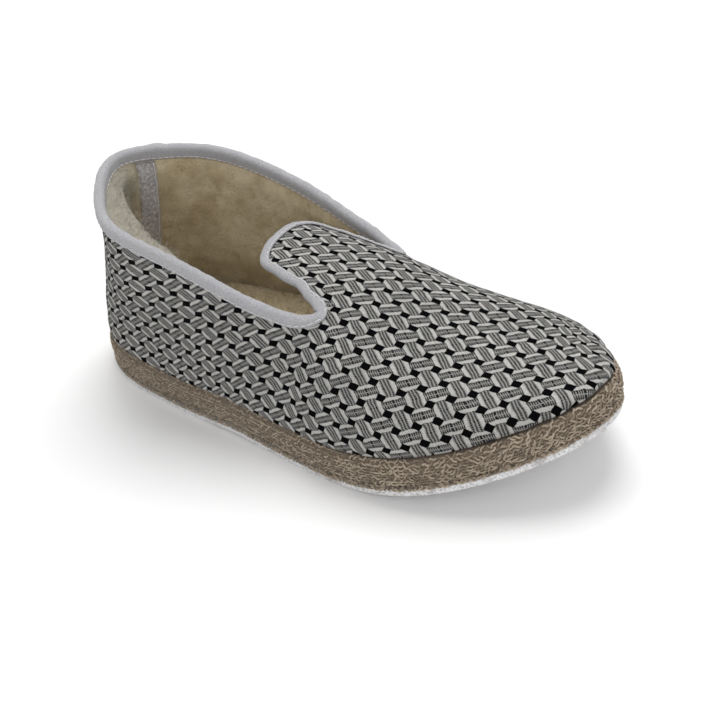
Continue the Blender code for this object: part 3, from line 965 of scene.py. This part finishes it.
# Wool pile shared by the lining and the footbed; its ranges are places across and heights in metres.
wool = {
    "cream": (0.78, 0.695, 0.515), "tan": (0.51, 0.412, 0.245), "deep": (0.48, 0.388, 0.24),
    # pale is the near roll's greyer tone: partly the fleece's own tint, partly painted light for how light
    # falls on the roll
    "pale": (0.33, 0.325, 0.285), "paleY": (0.0, 0.021), "paleZ": (0.050, 0.085), "paleShare": 0.85,
    # the low colour is painted shade, darkening the wool low down inside the slipper
    "low": (0.42, 0.33, 0.185), "lowZ": (0.026, 0.052), "lowShare": 0.1, "rough": 1.0, "sheen": 0.25,
    "grain": (1300.0, 75.0), "bump": (0.5, 0.0009), "stops": (0.36, 0.58), "patchShare": 0.55,
    "lockLow": 0.3, "lockShare": 0.5, "fibreShare": 0.5,
}
woolMaterial, tree = newMaterial("woolPile", wool)
grain = grainOf(tree, wool)
place = split(objectPlace(tree))
patches = ramp(grain["Mottle"], wool, "tan", "cream")
locks = mixColour(ownShade(tree) * wool["lockShare"] + wool["lockLow"], wool["deep"], wool["cream"])
# the upper inside of the near wall, over the roll, is mixed towards the greyer tone: partly the fleece's own
# tint there, partly painted light for how light falls on the roll
nearRoll = spread(place[2], *wool["paleZ"]) * spread(place[1], *wool["paleY"], wool["paleShare"], 0.0)
colour = mixColour(nearRoll, mixColour(wool["patchShare"], locks, patches), wool["pale"])
# painted shade: the wool darkens low down inside the slipper, over the footbed and the foot of the lining
colour = mixColour(spread(place[2], *wool["lowZ"], wool["lowShare"], 0.0), colour, wool["low"])
colour = mixColour(grain["Fibre"] * wool["fibreShare"], colour, wool["tan"], "MULTIPLY")
paint(woolMaterial, colour, grain["Fibre"], wool["bump"])

# Fleece lining: a lumpy skin with a roll along the near side, flat under the heel tape and in the notches.
lining = {
    "columns": 280, "rows": 36, "backRows": 7, "skin": 1.5, "fill": 1.4, "footIn": 0.9,
    "lump": 2.0, "lumpSize": 16.0, "lumpSeed": 3, "tufts": ((0.7, 6.0, 4),), "swellRim": (3.0, 10.0),
    "density": 570000.0, "length": 0.0021, "thickness": 0.00006, "curl": 1.2, "lean": 1.2, "seed": 11,
    "tapeIn": (27.12, 27.24), "tapeOut": (27.54, 27.66), "rollMiddle": 2.0, "rollWide": 1.6,
    "rollBelow": 8.0, "rollTall": 6.0, "rollDeep": 12.0, "rollRim": (2.0, 6.0),
    "notchAt": 8.2, "notchWide": 1.4, "notchRim": (8.0, 28.0), "notchLess": 0.9,
    "pileRim": (3.6, 5.0), "pileX": (45.0, 10.0), "pileInToe": 0.1, "pilePlain": 0.55, "pileRoll": 0.75,
}
stations, shares, face, normal, fromFoot, fromRim = wholeFace(lining)
stations = stations[:-1]
clear = 1.0 - window(stations, lining["tapeIn"], lining["tapeOut"])[:, None]
notch = hump(fromHeel(stations), lining["notchAt"], lining["notchWide"])[:, None]
notch = notch * (1.0 - smoothStep(*lining["notchRim"], fromRim))
swell = smoothStep(*lining["swellRim"], fromRim) * clear * (1.0 - lining["notchLess"] * notch)
fromRoll = np.mod(stations - lining["rollMiddle"] + sectionCount / 2.0, sectionCount) - sectionCount / 2.0
roll = hump(fromRoll, 0.0, lining["rollWide"])[:, None] * clear
roll = lining["rollDeep"] * roll * hump(fromRim, lining["rollBelow"], lining["rollTall"])
tufts = lining["lump"] * (0.5 + 0.5 * lumps(face, lining["lumpSize"], lining["lumpSeed"]))
deep = lipWall(stations)[:, None] + swell * (lining["fill"] + (tufts + uneven(face, lining["tufts"])))
deep = deep + roll * smoothStep(*lining["rollRim"], fromRim)
inside = face - normal * deep[..., None]
inside[:, 0] = between(inside[:, 1], inside[:, 0], lining["footIn"])
backRows = np.linspace(0, len(shares) - 1, lining["backRows"]).astype(int)
skin = [face[:, k] - normal[:, k] * lining["skin"] for k in backRows]
section = np.stack(skin + [inside[:, k] for k in range(len(shares) - 1, -1, -1)], axis=1)
fleece = gridObject("fleece_lining", section)
reach = smoothStep(*lining["pileX"], inside[..., 0]) * (1.0 - lining["pileInToe"]) + lining["pileInToe"]
thick = lining["pilePlain"] + lining["pileRoll"] * np.clip(roll / lining["rollDeep"], 0.0, 1.0)
grown = thick * smoothStep(*lining["pileRim"], fromRim) * clear * (1.0 - notch) * reach
pile = np.zeros(section.shape[:2])
pile[:, lining["backRows"]:] = grown[:, ::-1]
setField(fleece, "pile", pile.ravel())
runNodes(fleece, fibrePile, lining, woolMaterial)
print("fleece lining:", len(fleece.data.polygons), "faces")

# Footbed: fleece over a soft pad, crowned between its edges.
footbed = {
    "columns": 220, "steps": 40, "crown": 0.4, "crownPower": 4,
    "lump": 0.9, "lumpSize": 19.0, "lumpSeed": 8, "lumpLevel": 0.3,
    "density": 260000.0, "length": 0.0038, "thickness": 0.00009, "curl": 0.9, "lean": 1.15, "seed": 23,
    "pileUp": (0.3, 0.7), "pileX": (55.0, 15.0), "pileInToe": 0.08,
    "side": ((0.0, 3.8, 5.0), (0.3, 3.6, 6.0), (0.6, 5.0, 9.0), (0.85, 6.0, 11.5), (1.0, 7.6, 14.0)),
}


def footbedCrown(points, share):
    edge = 1.0 - np.abs(2.0 * share - 1.0) ** footbed["crownPower"]
    lump = lumps(points, footbed["lumpSize"], footbed["lumpSeed"]) - footbed["lumpLevel"]
    return edge * (footbed["crown"] + footbed["lump"] * lump)


low = last["outsole"] + last["band"] + 2.0 * last["gap"]
loops = slabLoops(footLoop, footbed["side"], low, last["insole"], last["insoleToe"], footbed["columns"])
insole = slabObject("fleece_footbed", loops, footbed["steps"], footbedCrown)
pile = smoothStep(*footbed["pileX"], vertexField(insole, "co")[:, 0] / mm)
pile = pile * (1.0 - footbed["pileInToe"]) + footbed["pileInToe"]
setField(insole, "pile", smoothStep(*footbed["pileUp"], vertexField(insole, "normal")[:, 2]) * pile)
runNodes(insole, fibrePile, footbed, woolMaterial)
print("footbed:", len(insole.data.polygons), "faces")

# Collar binding: soft tape folded over the rim and lapped at the heel, with small stitches near each edge.
tape = {
    "columns": 672, "thick": 0.95, "puffed": 1.15, "under": 0.28, "tongueLess": 0.28, "eased": 1.2,
    "stitchPitch": 3.0, "dimple": 0.25, "stitchRow": 2.2, "outsideRow": 3, "insideRow": 6,
    "lapIn": (26.95, 26.965), "lapOut": (27.1, 27.37), "lapStep": 0.55, "lapInside": 0.6,
    "ripples": ((0.12, 9.0, 31), (0.10, 4.0, 32)), "rough": 0.9, "sheen": 0.3,
    "light": (0.57, 0.57, 0.588), "shade": (0.47, 0.47, 0.488), "fleck": (0.76, 0.76, 0.79),
    "grain": (1400.0, 120.0), "bump": (0.8, 0.0005), "fibreHigh": 0.9,
    "fleckSoft": (0.38, 0.62), "fleckShare": 0.7,
    "ribs": 8.5, "ribSlant": 0.6, "ribHigh": 0.25, "ribSoft": (-1.0, 0.2), "ribShare": 0.22,
}
lowShares = [0.3, 0.6, 0.8]
fromRim = [6.0, 4.8, 4.0, 3.6, 3.1, 2.7, 2.2, 1.6, 1.0, 0.5, 0.0]
rows = {distance: k + len(lowShares) for k, distance in enumerate(fromRim)}
stations = np.arange(tape["columns"]) * sectionCount / tape["columns"]
face = evenFace(stations, lowShares, fromRim)
normal = gridNormals(face)
rim = face[:, -1]
lift = unit(face[:, -1] - face[:, -3])
walked = walkedAlong(closedLine(rim))
lap = window(stations, tape["lapIn"], tape["lapOut"]) * tape["lapStep"]
ripple = uneven(rim, tape["ripples"])
dip = tape["dimple"] * np.maximum(0.0, np.cos(walked[:-1] * 2.0 * math.pi / tape["stitchPitch"])) ** 2
wall = lipWall(stations)
lessAt = 1.0 - tape["tongueLess"] * onTongue(stations)


def rowAt(grid, distance):
    # the outer leg of the binding is narrower on the tongue
    k = np.interp(distance * lessAt, fromRim[::-1], np.arange(len(fromRim))[::-1]) + len(lowShares)
    low = np.minimum(k.astype(int), grid.shape[1] - 2)
    part = (k - low)[:, None]
    pick = np.arange(len(grid))
    return grid[pick, low] * (1.0 - part) + grid[pick, low + 1] * part


def outsideRow(distance, off, near=0.0):
    grown = off + (lap + ripple) * min(1.0, off / tape["eased"]) - dip * near
    return rowAt(face, distance) + rowAt(normal, distance) * grown[:, None]


def insideRow(distance, off, near=0.0):
    grown = wall + off + (lap * tape["lapInside"] + ripple) * min(1.0, off / tape["eased"]) - dip * near
    return face[:, rows[distance]] - normal[:, rows[distance]] * grown[:, None]


def foldRow(degrees, off):
    turn = math.radians(degrees)
    grown = wall / 2.0 + off + lap + ripple
    out = normal[:, -1] * math.cos(turn) + lift * math.sin(turn)
    return rim - normal[:, -1] * wall[:, None] / 2.0 + out * grown[:, None]


# legs of the tape: distance from the rim, height over the cloth, share of the stitch dimple
full, puffed, under = tape["thick"], tape["puffed"], tape["under"]
outsideLeg = [outsideRow(*row) for row in (
    (3.1, 0.3), (3.1, 0.65), (2.7, 0.85, 0.5), (2.2, 0.85, 1.0),
    (1.6, full, 0.6), (1.0, puffed), (0.5, puffed), (0.0, full + 0.1))]
fold = [foldRow(degrees, full) for degrees in (30.0, 60.0, 90.0, 120.0, 150.0)]
insideLeg = [insideRow(*row) for row in (
    (0.0, full), (0.5, full), (1.0, full), (1.6, full), (2.2, full),
    (2.7, 0.9, 0.6), (3.1, 0.85, 1.0), (3.6, 0.8, 0.5), (4.0, 0.65), (4.0, 0.3))]
hidden = [insideRow(2.7, under), insideRow(1.0, under), foldRow(90.0, 0.35),
          outsideRow(0.5, under), outsideRow(1.6, under)]
section = np.stack(outsideLeg + fold + insideLeg + hidden, axis=1)
uvGrid = np.stack(np.broadcast_arrays(walked[:, None], walkedAlong(section[0])[None, :]), axis=-1)
binding = gridObject("bound_collar", section, np.concatenate([uvGrid, uvGrid[:, :1]], axis=1), "tape")

bindingMaterial, tree = newMaterial("collarTape", tape)
grain = grainOf(tree, tape)
onTape = split(put(tree, "ShaderNodeUVMap", uv_map="tape"))
ribs = ((onTape[0] + onTape[1] * tape["ribSlant"]) * tape["ribs"]).math("SINE")
# painted shade: the furrows between the ribs are darkened in the colour; the ribs' relief is in the bump
furrowShade = spread(ribs, *tape["ribSoft"], 1.0, 0.0) * tape["ribShare"]
flecks = spread(grain["Fibre"], *tape["fleckSoft"], 0.0, tape["fleckShare"])
colour = mixColour(grain["Mottle"], tape["shade"], tape["light"])
colour = mixColour(furrowShade, colour, tape["shade"], "MULTIPLY")
colour = mixColour(flecks, colour, tape["fleck"], "MULTIPLY")
height = grain["Fibre"] * tape["fibreHigh"] + ribs * tape["ribHigh"]
paint(bindingMaterial, colour, height, tape["bump"])
binding.data.materials.append(bindingMaterial)
print("collar binding:", len(binding.data.polygons), "faces")

# Stitches: one short thread on each dimple, outside and inside.
thread = {
    "pitch": tape["stitchPitch"], "start": 0.5, "lift": 0.12, "reach": 0.8, "sides": 5,
    "length": 0.0021, "thickness": 0.00024, "turn": 0.08, "uneven": 0.08, "seed": 4,
    "colour": (0.78, 0.77, 0.78), "inner": (0.80, 0.74, 0.73), "shade": 0.8, "rough": 0.7,
    "grain": (4000.0, 200.0), "bump": (0.4, 0.0001),
}
threadHandles = ((-0.5, 0.0, -0.12), (-0.3, 0.0, 0.16), (0.3, 0.0, 0.16), (0.5, 0.0, -0.12))
stitchTree = rowGroup("stitchRow", threadHandles, thread["sides"])
threadMaterials = []
for key in ("colour", "inner"):
    material, tree = newMaterial("thread" + key.capitalize(), thread)
    fibre = grainOf(tree, thread)
    darker = [part * thread["shade"] for part in thread[key]]
    paint(material, mixColour(fibre, darker, thread[key]), fibre, thread["bump"])
    threadMaterials.append(material)


def rowPlaces(at, walked, line, out, piece):
    # places along a line, with the ways out and onwards there
    ahead = onLine(at + piece["reach"], walked, line) - onLine(at - piece["reach"], walked, line)
    outDir = unit(onLine(at, walked, out))
    return onLine(at, walked, line) + outDir * piece["lift"], outDir, unit(ahead)


def grownRow(name, places, outDir, runDir, size, tree, piece, material):
    row = newObject(name, newMesh(name, places, []))
    for key, values in (("outDir", outDir), ("runDir", runDir), ("size", size)):
        setField(row, key, values)
    return runNodes(row, tree, piece, material)


def stitchLine(name, piece, walked, line, out, material):
    at = np.arange(piece["start"], walked[-1] - piece["start"], piece["pitch"])
    places = rowPlaces(at, walked, line, out, piece)
    return grownRow(name, *places, np.ones(len(at)), stitchTree, piece, material)


outwards = closedLine(normal[:, rows[tape["stitchRow"]]])
stitches = []
for name, row, way, material in (
        ("collar_stitches_outside", tape["outsideRow"], 1.0, threadMaterials[0]),
        ("collar_stitches_inside", len(outsideLeg + fold) + tape["insideRow"], -1.0, threadMaterials[1])):
    stitches.append(stitchLine(name, thread, walked, closedLine(section[:, row]), outwards * way, material))
print("stitches:", [len(row.data.polygons) for row in stitches])

# Heel tape: a grey woven strip down the inside of the heel, with a pale seam along one edge.
heelTape = {
    "from": 27.18, "to": 27.56, "columns": 12, "top": 4.3, "bottom": 60.0, "rows": 40, "off": 0.8,
    "backOff": 0.5, "thick": 0.8, "edgeThick": 0.55, "edgeEase": 5.0, "lumps": ((0.16, 5.0, 41),),
    "grey": (0.48, 0.465, 0.475), "dark": (0.29, 0.275, 0.295), "pale": (0.68, 0.67, 0.685),
    "rough": 0.95, "sheen": 0.2, "grain": (700.0, 420.0), "bump": (0.7, 0.0004),
    "stops": (0.36, 0.50, 0.66), "mottleShare": 0.5,
}
stations = np.linspace(heelTape["from"], heelTape["to"], heelTape["columns"])
fromRim = np.linspace(heelTape["bottom"], heelTape["top"], heelTape["rows"])
face = evenFace(stations, [], fromRim)
normal = gridNormals(face, False)
edges = np.linspace(0.0, 1.0, heelTape["columns"]) * heelTape["edgeEase"]
ease = np.minimum(1.0, edges) * np.minimum(1.0, edges[::-1])
grown = heelTape["thick"] * between(heelTape["edgeThick"], 1.0, ease)[:, None]
grown = grown + uneven(face, heelTape["lumps"])
frontFace = face - normal * (last["wall"] + heelTape["off"] + grown)[..., None]
backFace = face - normal * (last["wall"] + heelTape["off"] * heelTape["backOff"])
loop = np.concatenate([frontFace, backFace[::-1]], axis=0)
lowEnd = np.arange(len(loop)) * heelTape["rows"]
ends = [lowEnd.tolist(), (lowEnd + heelTape["rows"] - 1)[::-1].tolist()]
stripMesh = newMesh("heel_seam_tape", loop.reshape(-1, 3), gridFaces(*loop.shape[:2], False) + ends)
heelStrip = newObject("heel_seam_tape", stripMesh)
tapeMaterial, tree = newMaterial("heelTape", heelTape)
grain = grainOf(tree, heelTape)
colour = ramp(grain["Fibre"], heelTape, "dark", "grey", "pale")
colour = mixColour(grain["Mottle"] * heelTape["mottleShare"], colour, heelTape["grey"])
paint(tapeMaterial, colour, grain["Fibre"], heelTape["bump"])
heelStrip.data.materials.append(tapeMaterial)

seam = {
    "pitch": 2.2, "start": 1.0, "lift": 0.15, "reach": 0.5,
    "length": 0.0026, "thickness": 0.0003, "turn": 0.1, "uneven": 0.1, "seed": 6,
}
seamRow = -2 if frontFace[0, 0, 1] < frontFace[-1, 0, 1] else 1
line = frontFace[seamRow]
out = -normal[seamRow]
tapeSeam = stitchLine("heel_tape_stitches", seam, walkedAlong(line), line, out, threadMaterials[0])
print("heel tape:", len(heelStrip.data.polygons), "faces")

# Edge band: a wrapped band of looped yarn round the sole.
band = {
    "columns": 420, "rows": 15, "steps": 12, "yarnRows": 9, "hemRows": 3, "firstRow": 1.6, "lessRows": 3.0,
    "pitch": 2.3, "lift": 0.10, "reach": 0.6, "sides": 4,
    "heelSize": 0.66, "toeSize": 1.04, "sizeX": (-60.0, 110.0),
    "length": 0.0025, "thickness": 0.00042, "turn": 0.9, "uneven": 0.25, "seed": 9, "rowSeed": 17,
    "hemHeel": 3.5, "hemToe": 4.6, "hemInset": -0.1, "rough": 0.95, "sheen": 0.15,
    "light": (0.50, 0.415, 0.318), "mid": (0.32, 0.254, 0.185), "dark": (0.12, 0.09, 0.062),
    "grain": (1500.0, 180.0), "bump": (0.8, 0.0006), "stops": (0.34, 0.58, 0.86),
    "fibreShare": 0.8, "ownShare": 0.5, "mottleShare": 0.35,
    "side": ((0.0, 2.6, 2.6), (0.1, 1.2, 1.2), (0.3, 0.2, 0.2),
             (0.7, 0.0, 0.0), (0.9, 0.7, 0.7), (1.0, 2.4, 2.4)),
}
side = finerSide(band["side"], band["rows"])
low = last["outsole"] + last["gap"]
loops = slabLoops(soleOutline, side, low, last["band"], last["band"], band["columns"])
edgeBand = slabObject("edge_band", loops, band["steps"])
bandMaterial, tree = newMaterial("bandYarn", band)
grain = grainOf(tree, band)
tone = grain["Fibre"] * band["fibreShare"] + ownShade(tree) * band["ownShare"]
colour = ramp(tone, band, "dark", "mid", "light")
colour = mixColour(grain["Mottle"] * band["mottleShare"], colour, band["mid"])
paint(bandMaterial, colour, grain["Fibre"], band["bump"])
edgeBand.data.materials.append(bandMaterial)


def yarnSize(x):
    return between(band["heelSize"], band["toeSize"], smoothStep(*band["sizeX"], x))


def betweenRows(grid, k):
    low, part = int(k), k - int(k)
    return grid[:, low] * (1.0 - part) + grid[:, low + 1] * part


# rows of loops up the side of the band, and hem rows below them that reach over the felt
sideNormal = gridNormals(loops)
rng = np.random.default_rng(band["rowSeed"])
hemSide = ((1.0, band["hemInset"], band["hemInset"]),)
hemRow = slabLoops(soleOutline, hemSide, 0.0, band["hemHeel"], band["hemToe"], band["columns"])[:, 0]
yarnRows = []
for row in range(-band["hemRows"], band["yarnRows"]):
    k = band["firstRow"] + (band["rows"] - band["lessRows"]) * max(row, 0) / (band["yarnRows"] - 1.0)
    line = betweenRows(loops, k)
    if row < 0:
        line = between(line, hemRow, -row / band["hemRows"])
    line, out = closedLine(line), closedLine(unit(betweenRows(sideNormal, k)))
    walkedRow = walkedAlong(line)
    at = []
    step = rng.uniform(0.0, band["pitch"])
    while step < walkedRow[-1] - 0.5 * band["pitch"]:
        at.append(step)
        step += band["pitch"] * float(yarnSize(np.interp(step, walkedRow, line[:, 0])))
    places, outDir, runDir = rowPlaces(np.array(at), walkedRow, line, out, band)
    size = yarnSize(np.interp(at, walkedRow, line[:, 0]))
    yarnRows.append((places, outDir, runDir * (1.0 if row % 2 else -1.0), size))
yarnHandles = ((-0.5, -0.18, -0.05), (-0.15, 0.42, 0.22), (0.15, -0.42, 0.22), (0.5, 0.18, -0.05))
yarnTree = rowGroup("yarnLoops", yarnHandles, band["sides"])
allRows = [np.concatenate(part) for part in zip(*yarnRows)]
yarn = grownRow("band_yarn", *allRows, yarnTree, band, bandMaterial)
print("edge band:", len(edgeBand.data.polygons), "faces,", len(yarn.data.polygons), "in its yarn")

# Outsole: a felt layer with a torn, fuzzy upper edge.
felt = {
    "columns": 900, "steps": 14, "ragged": 0.35, "tears": ((0.6, 3.1, 51), (0.4, 7.5, 52)), "tornLow": 0.25,
    "plainTo": 0.05, "topTorn": 0.55, "topSize": 2.6, "topSeed": 53, "nextTears": ((0.25, 3.4, 54),),
    "density": 300000.0, "length": 0.0009, "thickness": 0.00009, "curl": 0.6, "lean": 1.0, "seed": 37,
    "fuzzFrom": 0.25, "fuzzFull": 0.5, "fuzzLow": 0.3, "rough": 1.0, "sheen": 0.2,
    "light": (0.84, 0.83, 0.835), "shade": (0.50, 0.49, 0.49), "dirt": (0.36, 0.33, 0.31),
    "grain": (1000.0, 120.0), "bump": (0.8, 0.0006), "stops": (0.36, 0.54),
    "dirtSoft": (0.52, 0.70), "dirtShare": 0.45,
    "side": ((0.0, 0.6, 0.6), (0.08, 0.2, 0.2), (0.3, 0.0, 0.0),
             (0.6, 0.05, 0.05), (0.85, 0.1, 0.1), (1.0, 0.25, 0.25)),
}
loops = slabLoops(soleOutline, felt["side"], 0.0, last["outsole"], last["outsole"], felt["columns"])
sideNormal = unit(gridNormals(loops) * np.array([1.0, 1.0, 0.0]))
share = np.array([row[0] for row in felt["side"]])[None, :]
torn = felt["ragged"] * uneven(loops, felt["tears"]) * between(felt["tornLow"], 1.0, share)
loops = loops + sideNormal * torn[..., None] * (share > felt["plainTo"])[..., None]
loops[:, -1, 2] += felt["topTorn"] * (0.5 + 0.5 * lumps(loops[:, -1], felt["topSize"], felt["topSeed"]))
loops[:, -2, 2] += uneven(loops[:, -2], felt["nextTears"])
outsole = slabObject("felt_outsole", loops, felt["steps"])
fuzz = np.where(share > felt["fuzzFull"], 1.0, np.where(share > felt["fuzzFrom"], felt["fuzzLow"], 0.0))
pile = np.zeros(len(outsole.data.vertices))
pile[:torn.size] = np.broadcast_to(fuzz, torn.shape).ravel()
setField(outsole, "pile", pile)
feltMaterial, tree = newMaterial("whiteFelt", felt)
grain = grainOf(tree, felt)
soiled = spread(grain["Mottle"], *felt["dirtSoft"], 0.0, felt["dirtShare"])
colour = mixColour(soiled, ramp(grain["Fibre"], felt, "shade", "light"), felt["dirt"])
paint(feltMaterial, colour, grain["Fibre"], felt["bump"])
runNodes(outsole, fibrePile, felt, feltMaterial)
print("outsole:", len(outsole.data.polygons), "faces")

# Pieces on the frame.
for piece, node in ((upperCloth, "upper"), (fleece, "upper"), (insole, "insole"),
                    (binding, "collar_binding"), (heelStrip, "heel_tape"),
                    (edgeBand, "midsole"), (outsole, "outsole")):
    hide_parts(node)
for piece, slotName in ((upperCloth, "upper"), (fleece, "upper"), (insole, "insole"),
                        (binding, "collar_binding"), (stitches[0], "collar_binding"),
                        (stitches[1], "collar_binding"), (heelStrip, "heel_tape"), (tapeSeam, "heel_tape"),
                        (edgeBand, "midsole"), (yarn, "midsole"), (outsole, "outsole")):
    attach(piece, "root")

# Floor, light and camera; the stage is in metres.
stage = {
    "half": 4.0, "colour": (0.97, 0.97, 0.97), "shade": 0.985, "mottle": 3.0, "rough": 0.9, "sky": 0.54,
    "key": 15.5, "keySize": 0.9, "keyAt": (-0.13, 0.52, 1.48),
    "fill": 5.0, "fillSize": 1.2, "fillAt": (0.9, -1.1, 0.9), "aim": (0.0, 0.0, 0.04),
}
h = stage["half"]
floorMesh = bpy.data.meshes.new("floor")
floorMesh.from_pydata([(-h, -h, 0.0), (h, -h, 0.0), (h, h, 0.0), (-h, h, 0.0)], [], [(0, 1, 2, 3)])
floor = newObject("floor", floorMesh)
floorMaterial, tree = newMaterial("paleFloor", stage)
darker = [part * stage["shade"] for part in stage["colour"]]
paint(floorMaterial, mixColour(noise(tree, stage["mottle"]), darker, stage["colour"]))
floorMesh.materials.append(floorMaterial)

sky = bpy.data.worlds.new("studio")
sky.use_nodes = True
sky.node_tree.nodes["Background"].inputs["Color"].default_value = (1.0, 1.0, 1.0, 1.0)
sky.node_tree.nodes["Background"].inputs["Strength"].default_value = stage["sky"]
scene.world = sky


def setAxes(thing, right, up, back, place):
    rows = [[right[i], up[i], back[i], place[i]] for i in range(3)]
    thing.matrix_world = Matrix(rows + [[0.0, 0.0, 0.0, 1.0]])


for name in ("key", "fill"):
    lamp = bpy.data.lights.new(name + "Light", "AREA")
    lamp.energy = stage[name]
    lamp.size = stage[name + "Size"]
    place = stage[name + "At"]
    back = unit(np.array(place) - np.array(stage["aim"]))
    right = unit(np.cross((0.0, 0.0, 1.0), back))
    setAxes(newObject(name + "Light", lamp), right, np.cross(back, right), back, place)

# the focal length and the photo's width are in its pixels
view = {
    "azimuth": 39.58, "elevation": 34.4, "roll": -10.03, "away": 625.5, "aim": (21.3, -11.08, 34.79),
    "focal": 1469.86, "photoWide": 720.0, "sensor": 36.0, "clip": 0.01,
}
azimuth, elevation, tilt = (math.radians(view[key]) for key in ("azimuth", "elevation", "roll"))
level = np.array([math.cos(azimuth), math.sin(azimuth), 0.0])
ground = math.cos(elevation)
back = np.array([math.sin(azimuth) * ground, -math.cos(azimuth) * ground, math.sin(elevation)])
upright = np.cross(back, level)
right = math.cos(tilt) * level + math.sin(tilt) * upright
up = -math.sin(tilt) * level + math.cos(tilt) * upright
lens = bpy.data.cameras.new("camera")
lens.sensor_width = view["sensor"]
lens.lens = view["focal"] / view["photoWide"] * view["sensor"]
lens.clip_start = view["clip"]
camera = newObject("camera", lens)
setAxes(camera, right, up, back, (np.array(view["aim"]) + view["away"] * back) * mm)
scene.camera = camera
scene.view_settings.view_transform = "Standard"
print("camera and light set")

bpy.context.view_layer.update()
